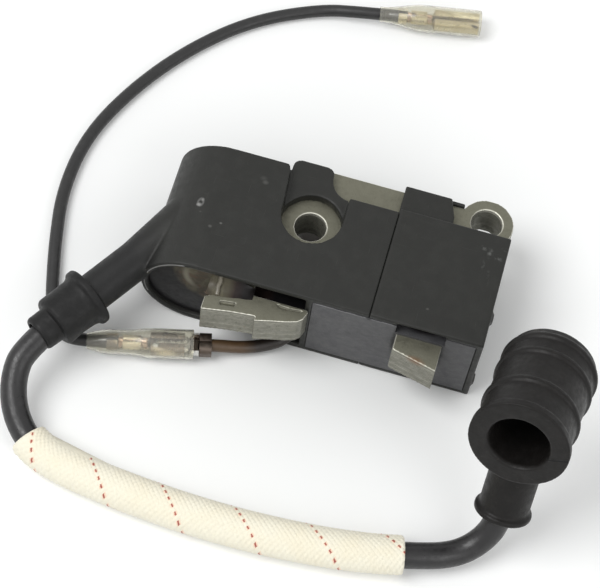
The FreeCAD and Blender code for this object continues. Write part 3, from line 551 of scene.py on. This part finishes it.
# Painted highlights: a bright patch on the wire crimp, a white glint on the channel and two bright lines
# along the sides.
push_on_metal.spots(
    joint, ((14.2, 0.3, 1.1), 1.9, 0.5, (0.8, 1.3, 1.0), (0.78, 0.70, 0.54)),
    ((9.6, 0.9, 1.0), 0.42, 0.16, (1.0, 1.0, 0.5), (0.93, 0.95, 0.97)),
    ((6.3, -1.7, 0.6), 0.36, 0.18, (0.16, 1.0, 0.5), (0.92, 0.88, 0.80)),
    ((8.0, 1.9, 0.0), 0.45, 0.22, (0.12, 1.0, 0.4), (0.80, 0.70, 0.55)))
end_metal = metal("end_metal", (0.70, 0.62, 0.43), 0.32, (0.58, 0.49, 0.31))
# Painted highlights along the channel's top fold and on the insulation crimp's end, a dark spot on the wire
# crimp, and painted shade in the channel's two open mouths.
end_metal.spots(
    end, ((16.0, 0.95, 0.95), 0.72, 0.25, (0.26, 1.0, 0.8), (0.97, 0.90, 0.68)),
    ((18.1, -1.45, 0.9), 0.26, 0.10, (0.36, 1.0, 0.4), (0.045, 0.032, 0.020)),
    ((18.1, -0.3, 0.9), 0.26, 0.10, (0.36, 1.0, 0.4), (0.045, 0.032, 0.020)),
    ((4.6, 0.35, 1.3), 0.72, 0.25, (0.8, 1.3, 0.8), (0.97, 0.96, 0.92)),
    ((6.4, -0.1, 1.2), 0.55, 0.25, (0.9, 1.2, 0.8), (0.12, 0.085, 0.055)))

clear = Finish("clear_cover", (0.90, 0.885, 0.80), 0.10, Transmission_Weight=0.90, IOR=1.42)
clear.paint(clear.cloud(2.0, 4, 0.5, 0.75), (0.82, 0.79, 0.68), 0.4)
clear.rough(clear.cloud(1.2, 4, 0.35, 0.7), 0.08, 0.24)
clear.bump(clear.cloud(2.4, 2), 0.02)

copper = metal("enamelled_wire", (0.55, 0.24, 0.10), 0.30, (0.36, 0.13, 0.05))
turns = copper.node("ShaderNodeTexWave", bands_direction="Y", Scale=0.9,
                    Vector=copper.scaled(1 / MM, 1 / MM, 1 / MM))
copper.bump(turns.outputs["Fac"], 0.05)
former = Finish("former_plastic", (0.62, 0.60, 0.53), 0.45)
former.paint(former.cloud(2.5, 4, 0.45, 0.7), (0.50, 0.47, 0.40), 0.5)
former.bump(former.cloud(0.4, 3), 0.02)
board_green = Finish("board_laminate", (0.045, 0.11, 0.055), 0.35)
board_green.paint(board_green.cloud((0.5, 0.5, 3.0), 2, 0.52, 0.56), (0.030, 0.080, 0.040))
board_green.bump(board_green.cloud(0.3, 2), 0.01)
component = Finish("component_body", (0.10, 0.055, 0.030), 0.35)
component.paint(component.cloud(1.5, 4, 0.4, 0.7), (0.16, 0.085, 0.045), 0.6)
component.bump(component.cloud(0.5, 3), 0.02)

CAD_FINISHES = (
    (housing_finish, "coil_housing module_housing"), (steel, "core_yoke core_leg"),
    (former, "primary_bobbin secondary_bobbin trigger_bobbin"),
    (copper, "primary_winding secondary_winding trigger_winding"),
    (component, "capacitor thyristor resistor diode"), (board_green, "circuit_board"),
    (amber, "coil_potting"), (potting, "module_potting"), (grommet_rubber, "tower_grommet"),
    (brass, "ht_terminal lower_receptacle upper_receptacle"), (tinned, "ground_tab male_terminal"),
    (boot_rubber, "plug_boot"), (spring_steel, "plug_spring_clip"), (lead_cover, "ht_lead"),
    (braid, "fibreglass_sleeve"), (brown_cover, "brown_lead"), (wire_cover, "kill_wire"),
    (clear, "lower_clear_sleeve upper_clear_sleeve"))
for finish, node_names in CAD_FINISHES:
    for node_name in node_names.split():
        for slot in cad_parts[node_name].material_slots:
            slot.material = finish.material


# ---- the two free cords and the short brown lead ----------------------------------------------
lead_route = [
    tower.at(14), tower.at(30), mm(-40.9, -39.5, -1.2), mm(-38.3, -45.2, -3.4), mm(-33.0, -49.5, -4.45),
    mm(-20.0, -51.7, -4.45), mm(0.0, -52.9, -4.45), mm(20.0, -51.5, -4.45), mm(33.4, -48.4, -4.5),
    mm(38.8, -46.0, -5.2), mm(42.3, -43.1, -3.5), stem.at(STEM_LENGTH + 1.5), stem.at(16.2)]
ht_lead = link(cord_curve("ht_lead_cover", lead_route, 2.25, lead_cover), MODULE, "ht_lead")

stop_route = [
    joint.at(16.0), joint.at(23.1), mm(-36.7, -26.2, -5.8), mm(-39.1, -23.95, -6.3),
    mm(-41.2, -17.5, -6.75), mm(-43.6, -8.5, -6.75), mm(-45.6, 2.0, -6.75), mm(-44.9, 14.0, -6.75),
    mm(-40.2, 26.0, -6.75), mm(-33.0, 37.6, -6.75), mm(-23.4, 47.8, -6.75), mm(-11.5, 54.5, -6.7),
    end.at(-2.9), end.at(5.3)]
stop_wire = link(cord_curve("stop_wire_cover", stop_route, 1.15, wire_cover), STOP, "kill_wire")

brown_route = [mm(2.0, -13.4, -5.3), mm(0.9, -15.9, -5.4), mm(-2.8, -17.9, -6.5), mm(-6.4, -19.5, -6.1),
               joint.at(-1.2), joint.at(1.5)]
link(cord_curve("brown_wire_cover", brown_route, 1.1, brown_cover), MODULE, "brown_lead")


# ---- moulded, cast and stamped pieces, from the CAD solids ------------------------------------
def smooth_by_angle(mesh, degrees):
    """Shades faces smooth, and keeps edges sharper than the angle sharp."""
    bm = bmesh.new()
    bm.from_mesh(mesh)
    limit = math.radians(degrees)
    for face in bm.faces:
        face.smooth = True
    for edge in bm.edges:
        edge.smooth = len(edge.link_faces) == 2 and edge.calc_face_angle(0.0) < limit
    bm.to_mesh(mesh)
    bm.free()


def solid_of(node, name):
    """A closed copy of a CAD node's mesh, with flat faces merged."""
    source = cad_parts[node]
    mesh = source.data.copy()
    mesh.name = name
    mesh.transform(source.matrix_world)
    bm = bmesh.new()
    bm.from_mesh(mesh)
    bmesh.ops.remove_doubles(bm, verts=bm.verts, dist=2e-6)
    bmesh.ops.dissolve_limit(bm, angle_limit=math.radians(0.4), verts=bm.verts, edges=bm.edges,
                             use_dissolve_boundaries=False)
    bm.normal_update()
    bm.to_mesh(mesh)
    bm.free()
    return mesh


def skinned(obj, voxel, relax):
    """Wraps an object in a skin of even faces, voxel mm long, and relaxes it to wear its edges."""
    scene.collection.objects.link(obj)
    skin = obj.modifiers.new("skin", "REMESH")
    skin.mode, skin.voxel_size = "VOXEL", voxel * MM
    wear = obj.modifiers.new("wear", "SMOOTH")
    wear.factor, wear.iterations = 0.5, relax
    graph = bpy.context.evaluated_depsgraph_get()
    mesh = bpy.data.meshes.new_from_object(obj.evaluated_get(graph))
    scene.collection.objects.unlink(obj)
    obj.modifiers.clear()
    old, obj.data = obj.data, mesh
    mesh.name = obj.name
    bpy.data.meshes.remove(old)
    mesh.shade_smooth()


def dressed(name, node, finish, voxel=0.0, relax=0):
    """A copy of a CAD solid. With a voxel size in mm its edges are worn round."""
    obj = dye(bpy.data.objects.new(name, solid_of(node, name)), finish)
    if not voxel:
        smooth_by_angle(obj.data, 30)
        return obj
    skinned(obj, voxel, relax)
    return dye(obj, finish)


link(dressed("housing_moulding", "coil_housing", housing_finish, 0.25, 3), MODULE, "coil_housing")
link(dressed("module_moulding", "module_housing", housing_finish, 0.23, 3), MODULE, "module_housing")
link(dressed("yoke_stack", "core_yoke", steel, 0.20, 2), MODULE, "core_yoke")
link(dressed("shoe_stack", "core_leg", steel, 0.14, 2), MODULE, "core_leg")


# ---- woven glass-fibre sleeve on the high-tension lead ----------------------------------------
lead_line = centreline(ht_lead)
lead_run = distances(lead_line)


def lead_station(place):
    """How far along the lead its point nearest to a place lies."""
    return lead_run[min(range(len(lead_line)), key=lambda i: (lead_line[i] - place).length)]


def slip(v):
    """The strands lie a little closer together on the sleeve's sides than on its flatter top."""
    return v + 0.5 * math.sin(4 * math.pi * v) / (4 * math.pi)


def woven_sleeve(name, first, last, outer, inner, strands, pitch, phase, around=12, step=0.12):
    """A braided tube: two sets of strands wind opposite ways and pass over and under each other.
    One strand of one set is the coloured tracer."""
    steps = strands * around
    length = last - first
    count = int(length / (step * MM))
    relief = 0.20

    def weave(x, v):
        """Where a place lies in each set, counted in strands, and whether the first set is on top."""
        a, b = strands * (v - x / pitch + phase), strands * (v + x / pitch)
        return a, b, (math.floor(a) + math.floor(b)) % 2 == 0

    def outside(x, angle, v):
        """The woven face's radius, drawn in at the sleeve's two ends."""
        a, b, over = weave(x, v)
        fa, fb = a % 1.0 - 0.5, b % 1.0 - 0.5
        across, run_on = (fa, fb) if over else (fb, fa)
        crown = (1 - (2 * across) ** 2) ** 0.5 * math.cos(math.pi * run_on * 0.92)
        height = relief * (0.15 + 0.79 * crown + 0.06 * math.sin(across * 40) * crown)
        sag = 0.10 * noise(x * 0.12, 3.0) + 0.05 * math.cos(2 * angle + x * 0.05)
        edge = min(0.5, x, length / MM - x)
        return min(outer, outer - relief - 0.12 + height + sag * 0.6 - 0.25 * (1 - edge / 0.5) ** 2)

    def colouring(i, k):
        """A face's finish: 0 for the braid, 1 for the tracer and 2 for the tracer's edge."""
        a, b, over = weave((i + 0.5) / count * length / MM, slip((k + 0.5) / steps))
        if i >= count or not over or math.floor(a) % strands:
            return 0
        return 1 if abs(a % 1.0 - 0.5) < 0.20 and abs(b % 1.0 - 0.5) < 0.42 else 2

    rings = [(i / count, True) for i in range(count + 1)]
    rings += [(part, False) for part in (1.0, 0.66, 0.33, 0.0)]
    verts = []
    for part, woven in rings:
        centre, ahead = along(lead_line, lead_run, first + part * length)
        side = ahead.cross(Vector((0, 0, 1))).normalized()
        up = side.cross(ahead)
        for k, angle in enumerate(angles(steps)):
            r = outside(part * length / MM, angle, slip(k / steps)) if woven else inner
            verts.append(centre + (up * math.cos(angle) + side * math.sin(angle)) * r * MM)
    faces = faces_between(len(rings), steps, loop=True, flip=True)
    obj = mesh_object(name, verts, faces, braid, tracer, tracer_edge)
    colours = [colouring(i, k) for i in range(len(rings)) for k in range(steps)]
    obj.data.polygons.foreach_set("material_index", colours)
    return obj


sleeve = woven_sleeve("glass_sleeve", lead_station(mm(-35.54, -47.44, -3.95)),
                      lead_station(mm(30.32, -49.11, -4.49)), 3.5, 2.55, 14, 13.0, 0.107)
link(sleeve, MODULE, "fibreglass_sleeve")


# ---- grommet on the tower ---------------------------------------------------------------------
def lumps(amount, seed):
    """Uneven rubber outside, and a true bore."""
    def lump(x, r, a):
        return amount * noise(x * 0.9 + math.cos(a) * 1.6, math.sin(a) * 1.6, seed) if r > 3 else 0.0

    return lump


grommet_section = rounded([
    (15.9, 3.48), (15.9, 5.05), (16.2, 5.32), (17.2, 5.32), (17.6, 4.75), (18.4, 4.50), (20.6, 4.42),
    (23.6, 4.50), (24.1, 4.15), (24.25, 3.2), (27.0, 3.15), (27.45, 2.85), (27.45, 2.30), (22.5, 2.30),
    (22.5, 3.48)], 0.35)
link(lathe("rubber_grommet", tower, grommet_section, grommet_rubber, ripple=lumps(0.08, 4)),
     MODULE, "tower_grommet")


# ---- spark-plug boot and its clip -------------------------------------------------------------
def boot():
    """The barrel with its three ribs and the stem, moulded in one piece and a little worn."""
    rib = ((0.0, 7.7), (0.3, 8.15), (1.1, 8.15), (1.4, 7.7))
    ribs = [(start + x, r) for start in (2.1, 5.9, 13.2) for x, r in rib]
    outer = rounded([
        (0.0, 0.0), (0.0, 6.6), (0.8, 7.5), *ribs, (19.1, 7.75), (19.4, 8.25), (20.88, 8.25),
        (20.88, 5.15), (20.2, 4.8), (8.3, 4.8), (8.3, 4.42), (6.0, 4.42), (6.0, 0.0)], 0.20, closed=False)
    neck = rounded([
        (6.5, 0.0), (6.5, 4.3), (23.4, 4.3), (23.7, 4.92), (24.66, 4.92), (24.66, 2.32), (15.7, 2.32),
        (15.7, 0.0)], 0.3, closed=False)
    obj = lathe("rubber_boot", barrel, outer, boot_rubber, 128, closed=False)
    branch = lathe("boot_stem", stem, neck, boot_rubber, closed=False)
    bm = bmesh.new()
    bm.from_mesh(obj.data)
    bm.from_mesh(branch.data)
    bmesh.ops.remove_doubles(bm, verts=bm.verts, dist=1e-7)
    bmesh.ops.recalc_face_normals(bm, faces=bm.faces)
    bm.to_mesh(obj.data)
    bm.free()
    bpy.data.objects.remove(branch)
    skinned(obj, 0.20, 1)
    normals = [vert.normal.copy() for vert in obj.data.vertices]
    for vert, normal in zip(obj.data.vertices, normals):
        p = vert.co / MM
        wear = 1 + noise(p.x * 0.35 + p.z * 0.2, p.y * 0.3 + p.z * 0.25, 7)
        vert.co -= normal * MM * 0.03 * wear
    return dye(obj, boot_rubber)


plug_boot = link(boot(), BOOT, "plug_boot")
clip = link(dressed("plug_clip", "plug_spring_clip", spring_steel), BOOT, "plug_spring_clip")


# ---- terminals, bent from strip, and their clear covers ---------------------------------------
def bent(corners, count=44):
    """An open line through corners of (y, z, rounding), in evenly spaced points."""
    places = [Vector(point[:2]) for point in corners]
    line = [places[0]]
    for i in range(1, len(corners) - 1):
        line += corner(places[i - 1], places[i], places[i + 1], corners[i][2], 0.49, 8)
    line.append(places[-1])
    run = distances(line)
    return [along(line, run, run[-1] * k / (count - 1))[0] for k in range(count)]


def mirrored(*half):
    """The line whose first half is given, up to the mirror plane, and whose second half mirrors it."""
    return bent([*half, *((-y, z, r) for y, z, r in reversed(half))])


def rolled(radius, dip=0.0, gap=8):
    """A closed crimp: a ring whose two edges meet on top and dip inwards."""
    result = []
    for k in range(25):
        a = math.radians(-180 + gap + (360 - 2 * gap) * k / 24)
        inward = dip * max(0.0, 1 - min(k, 24 - k) / 4.0) ** 2
        result.append(((radius - inward) * math.sin(a), -(radius - inward) * math.cos(a), 0.1))
    return bent(result)


def tray(half, low, high):
    """A shallow trough."""
    return mirrored((-half, high, 0.0), (-half, low, 0.35))


def channel(lip):
    """A rolled receptacle's section; lip is the level at which its curled edges end."""
    return mirrored((-0.62, lip, 0.0), (-0.36, 0.95, 0.55), (-1.85, 0.95, 0.75), (-1.85, -0.95, 0.35))


def doubled(edge, half, thick, bend):
    """A flat blade, folded over from both sides."""
    return mirrored((-edge, thick, 0.0), (-half, thick, bend), (-half, -thick, bend))


def strip(name, axis, stations, thick):
    """Sheet metal of one thickness, whose section changes from station to station."""
    sections = []
    for (x0, line0), (x1, line1) in zip(stations, stations[1:]):
        steps = max(2, round(abs(x1 - x0) / 0.25))
        for k in range(steps):
            u = k / steps
            w = u * u * (3 - 2 * u)
            sections.append((x0 + (x1 - x0) * u, [a.lerp(b, w) for a, b in zip(line0, line1)]))
    sections.append(stations[-1])
    verts = []
    for x, line in sections:
        above, below = [], []
        for before, p, after in zip(line[:1] + line, line, line[1:] + line[-1:]):
            ahead = (after - before).normalized()
            away = Vector((-ahead.y, ahead.x)) * thick * 0.5
            above.append(p + away)
            below.append(p - away)
        verts += [axis.at(x, p.x, p.y) for p in above + below[::-1]]
    count = len(stations[0][1])
    ring = 2 * count
    faces = faces_between(len(sections), ring)
    for start in (0, (len(sections) - 1) * ring):
        for k in range(count - 1):
            faces.append((start + k, start + k + 1, start + ring - 2 - k, start + ring - 1 - k))
    return mesh_object(name, verts, faces)


def joined(name, parts):
    """One object from several, each given with its finish. The parts are used up."""
    bm = bmesh.new()
    mesh = bpy.data.meshes.new(name)
    for index, (part, finish) in enumerate(parts):
        for face in part.data.polygons:
            face.material_index = index
        bm.from_mesh(part.data)
        mesh.materials.append(finish.material)
        bpy.data.objects.remove(part)
    bmesh.ops.recalc_face_normals(bm, faces=bm.faces)
    bm.to_mesh(mesh)
    bm.free()
    smooth_by_angle(mesh, 42)
    return bpy.data.objects.new(name, mesh)


def strands(axis, first, last, radius, count, seed, steps=14, sides=8):
    """Twisted copper strands of a stripped wire end."""
    verts, faces = [], []
    thin = radius * 0.42
    for s in range(count):
        start = len(verts)
        lay = 0.0 if s == 0 else radius - thin
        reach = last + 0.25 * noise(s * 1.3, 0.5, seed)
        for i in range(steps + 1):
            x = first + (reach - first) * i / steps
            turn = 2 * math.pi * s / (count - 1) + (x - first) * 0.55
            for a in angles(sides):
                verts.append(axis.at(x, lay * math.cos(turn) + thin * math.cos(a),
                                     lay * math.sin(turn) + thin * math.sin(a)))
        faces += faces_between(steps + 1, sides, start) + caps(steps + 1, sides, start)
    return mesh_object("strands", verts, faces)


def receptacle(name, axis, mouth, back, neck, barrel_ends, grip_ends, lip, seed, finish):
    """The channel, a neck, the crimp on the bare wire and the crimp on its insulation."""
    way = 1 if back > mouth else -1
    low = tray(0.95, -0.62, -0.1)
    wire_crimp, cover_crimp = rolled(1.18, 0.35), rolled(1.34, 0.12, 14)
    metalwork = strip(name + "_strip", axis, [
        (mouth, channel(lip)), (back, channel(lip)), (neck[0], low), (neck[1], low),
        (barrel_ends[0], wire_crimp), (barrel_ends[1] - 0.5 * way, wire_crimp),
        (barrel_ends[1] - 0.2 * way, low), (grip_ends[0] - 0.2 * way, low),
        (grip_ends[0] + 0.1 * way, cover_crimp), (grip_ends[1], cover_crimp)], 0.27)
    bare = strands(axis, grip_ends[0], neck[1] - 0.5 * way, 0.92, 7, seed)
    return joined(name, [(metalwork, finish), (bare, copper_strand)])


lower_receptacle = link(receptacle("push_on_receptacle", joint, 4.62, 10.4, (10.7, 11.6), (12.1, 15.7),
                                   (16.1, 18.0), 0.55, 3, push_on_metal), STOP, "lower_receptacle")
upper_receptacle = link(receptacle("end_receptacle", end, 18.88, 10.5, (10.1, 9.4), (9.0, 5.6),
                                   (5.3, 3.6), 0.0, 8, end_metal), STOP, "upper_receptacle")


def male_terminal():
    """The tab terminal of the brown lead: crimp, folded blade and a wing at either side."""
    grip = mirrored((-0.12, 0.75, 0.0), (-0.2, 1.25, 0.3), (-1.85, 1.15, 0.8), (-1.7, -1.28, 0.6))
    wide, narrow = tray(1.45, -0.75, 0.2), tray(0.95, -0.2, 0.1)
    folded, tip = doubled(0.06, 1.2, 0.2, 0.15), doubled(0.05, 0.8, 0.13, 0.1)
    crimp = strip("crimp_part", joint, [
        (-0.1, grip), (2.0, grip), (2.2, wide), (3.5, wide), (3.9, narrow)], 0.34)
    blade = strip("blade_part", joint, [
        (3.7, narrow), (4.05, folded), (8.7, folded), (9.55, tip)], 0.38)
    parts = [(crimp, crimp_metal), (blade, tinned)]
    for side in (-1.62, 1.62):
        wing = [(x, bent([(side, -0.7, 0.0), (side * 1.05, top, 0.0)]))
                for x, top in ((2.1, 0.85), (3.55, 0.75))]
        parts.append((strip("wing", joint, wing, 0.3), tinned))
    return joined("male_blade", parts)


link(male_terminal(), MODULE, "male_terminal")


def cover(name, axis, section, seed):
    """A clear soft cover that has been squeezed a little here and there."""
    def wavy(x, r, a):
        return 0.06 * (noise(x * 0.35, seed) + 0.6 * math.cos(2 * a + x * 0.15))

    return lathe(name, axis, rounded(section, 0.9, 6), clear, ripple=wavy)


lower_cover = link(cover("lower_cover", joint, [
    (3.02, 2.58), (11.0, 2.58), (13.4, 2.22), (15.6, 2.10), (18.2, 2.18), (19.8, 1.85), (21.45, 1.45),
    (21.45, 1.22), (19.8, 1.55), (18.2, 1.88), (15.6, 1.82), (13.4, 1.92), (11.0, 2.26), (3.02, 2.28)],
    2), STOP, "lower_clear_sleeve")
upper_cover = link(cover("upper_cover", end, [
    (0.04, 1.45), (1.5, 1.46), (4.4, 2.05), (7.5, 2.58), (19.26, 2.60),
    (19.26, 2.28), (7.5, 2.28), (4.4, 1.76), (1.5, 1.24), (0.04, 1.24)], 5), STOP, "upper_clear_sleeve")


# ---- cast resin and what shows in it ----------------------------------------------------------
link(dressed("coil_resin", "coil_potting", amber), MODULE, "coil_potting")
link(dressed("module_resin", "module_potting", potting), MODULE, "module_potting")


def meniscus(across=12, steps=36):
    """Resin that has crept forwards over the steel arm, thinning to nothing at its front edge."""
    heights = ((-13.6, 8.0), (-13.0, 9.1), (-11.5, 9.7), (-9.8, 9.4), (-8.0, 8.3), (-6.4, 7.5),
               (-5.7, 7.15))
    left, right, back, under = -13.6, -5.7, -14.6, 6.9
    verts = []
    for i in range(steps + 1):
        x = left + (right - left) * i / steps
        for (xa, za), (xb, zb) in zip(heights, heights[1:]):
            if xa <= x <= xb + 1e-6:
                high = za + (zb - za) * (x - xa) / (xb - xa)
        front = Vector((-18.05 + 0.16 * (x - left) + 0.12 * noise(x * 0.8, 1.0, 2), STEEL_TOP))
        for k in range(across + 1):
            p = bow(front, Vector((-15.2, 7.12)), Vector((back, high)), k / across)
            verts.append(mm(x, p.x, p.y + 0.02))
        verts += [mm(x, back, under), mm(x, front.x, under)]
    row = across + 3
    faces = faces_between(steps + 1, row) + caps(steps + 1, row)
    obj = mesh_object("resin_meniscus", verts, faces, amber)
    smooth_by_angle(obj.data, 40)
    return obj


link(meniscus(), MODULE)


def tube(name, places, radius, finish, sides=14, steps=10):
    """A thin round line through places in mm, with rounded ends."""
    points = [Vector(place) for place in places]
    line = []
    for before, a, b, after in zip(points[:1] + points, points, points[1:], points[2:] + points[-1:]):
        for k in range(steps):
            u = k / steps
            line.append(0.5 * (2 * a + (b - before) * u + (2 * before - 5 * a + 4 * b - after) * u * u
                               + (3 * a - before - 3 * b + after) * u ** 3))
    line.append(points[-1])
    verts = []
    for i, p in enumerate(line):
        grow = 0.35 if i in (0, len(line) - 1) else 1.0
        ahead = (line[min(i + 1, len(line) - 1)] - line[max(i - 1, 0)]).normalized()
        side = ahead.cross(Vector((0.31, 0.95, 0.05))).normalized()
        up = side.cross(ahead)
        for a in angles(sides):
            verts.append((p + (side * math.cos(a) + up * math.sin(a)) * radius * grow) * MM)
    faces = faces_between(len(line), sides) + caps(len(line), sides)
    return mesh_object(name, verts, faces, finish)


pale_wire = jacket("pale_wire", (0.135, 0.122, 0.092), 0.30)
link(tube("wire_end", [
    (-11.75, -14.6, 9.3), (-11.75, -15.1, 8.6), (-11.7, -15.6, 8.05), (-11.85, -16.2, 7.6),
    (-11.75, -16.9, 7.25), (-11.7, -17.6, 6.98)], 0.42, pale_wire), MODULE)
EDGE_FRONT = RESIN_FRONT + 0.04
# A pale thin tube along the housing's inner edge: a painted highlight where the edge catches the light.
rim_highlight = jacket("rim_highlight", (0.17, 0.17, 0.165), 0.35)
rim = [(-16.2 + 8.85 * math.cos(a), EDGE_FRONT, 1.5 + 8.85 * math.sin(a))
       for a in (math.radians(degrees) for degrees in range(204, 96, -6))]
link(tube("rim_edge_highlight", rim, 0.13, rim_highlight, 10, 3), MODULE)

# Thin resin ridges along the upper edges, painted paler than the resin as a highlight.
flash_highlight_finish = jacket("flash_highlight", (0.15, 0.15, 0.155), 0.4)


def flash(name, height, pace, shift, seed, radius, stations):
    """A thin, slightly wavy ridge of resin along a resin's upper edge, coloured paler as a painted
    highlight.
    """
    places = [(x, EDGE_FRONT, height + 0.10 * noise(x * pace, shift, seed)) for x in stations]
    link(tube(name, places, radius, flash_highlight_finish, 8, 6), MODULE)


flash("resin_flash", 9.72, 1.7, 2.0, 5, 0.11, (4.7, 6.2, 7.9, 9.4, 11.2, 12.6, 13.7))
flash("module_flash", 9.70, 1.9, 1.0, 9, 0.10, (14.7, 15.6, 16.8, 17.9, 18.7))


# ---- floor, backdrop and light ----------------------------------------------------------------
def floor_white():
    """A pale ground that keeps its shadows. It looks lighter away from the part, and darker inside
    hole 1, where hardly any light gets in."""
    f = Finish("floor_white", (0.86, 0.87, 0.865), 0.6, Specular_IOR_Level=0.1, Emission_Color=(1, 1, 1, 1))
    far = f.vector("DISTANCE", f.place, mm(4, -4, 0))["Value"]
    lift = f.spread(far, 12 * MM, 75 * MM, 0.0, 0.17, "SMOOTHSTEP")
    f.put(f.shader["Emission Strength"], f.times(f.seen(), lift))
    # Painted shade: the floor is darkened under hole 1.
    f.paint(f.spot((0.4, 7.5, 0.0), 4.0, 1.5), (0.20, 0.19, 0.175))
    return f


floor_mesh = bmesh.new()
bmesh.ops.create_grid(floor_mesh, x_segments=8, y_segments=8, size=4.0)
floor = bpy.data.objects.new("floor", bpy.data.meshes.new("floor"))
floor_mesh.to_mesh(floor.data)
floor_mesh.free()
floor.location = mm(0, 0, GROUND)
scene.collection.objects.link(dye(floor, floor_white()))

scene.world = bpy.data.worlds.new("studio")
scene.world.use_nodes = True
sky = Nodes(scene.world.node_tree)
background = sky.tree.nodes["Background"].inputs
sky.put(background["Color"], (1, 1, 1, 1))
sky.put(background["Strength"], sky.spread(sky.seen(), 0.0, 1.0, 0.56, 0.90))


def lamp(name, place, target, size, power):
    data = bpy.data.lights.new(name, "AREA")
    data.shape = "DISK"
    data.size = size
    data.energy = power
    obj = bpy.data.objects.new(name, data)
    obj.location = place
    obj.rotation_euler = (Vector(target) - Vector(place)).to_track_quat("-Z", "Y").to_euler()
    scene.collection.objects.link(obj)


lamp("key", (-0.30, -0.16, 0.58), (0, 0, 0), 0.42, 2.6)
lamp("fill", (0.45, -0.35, 0.40), (0, 0, 0), 0.45, 0.9)
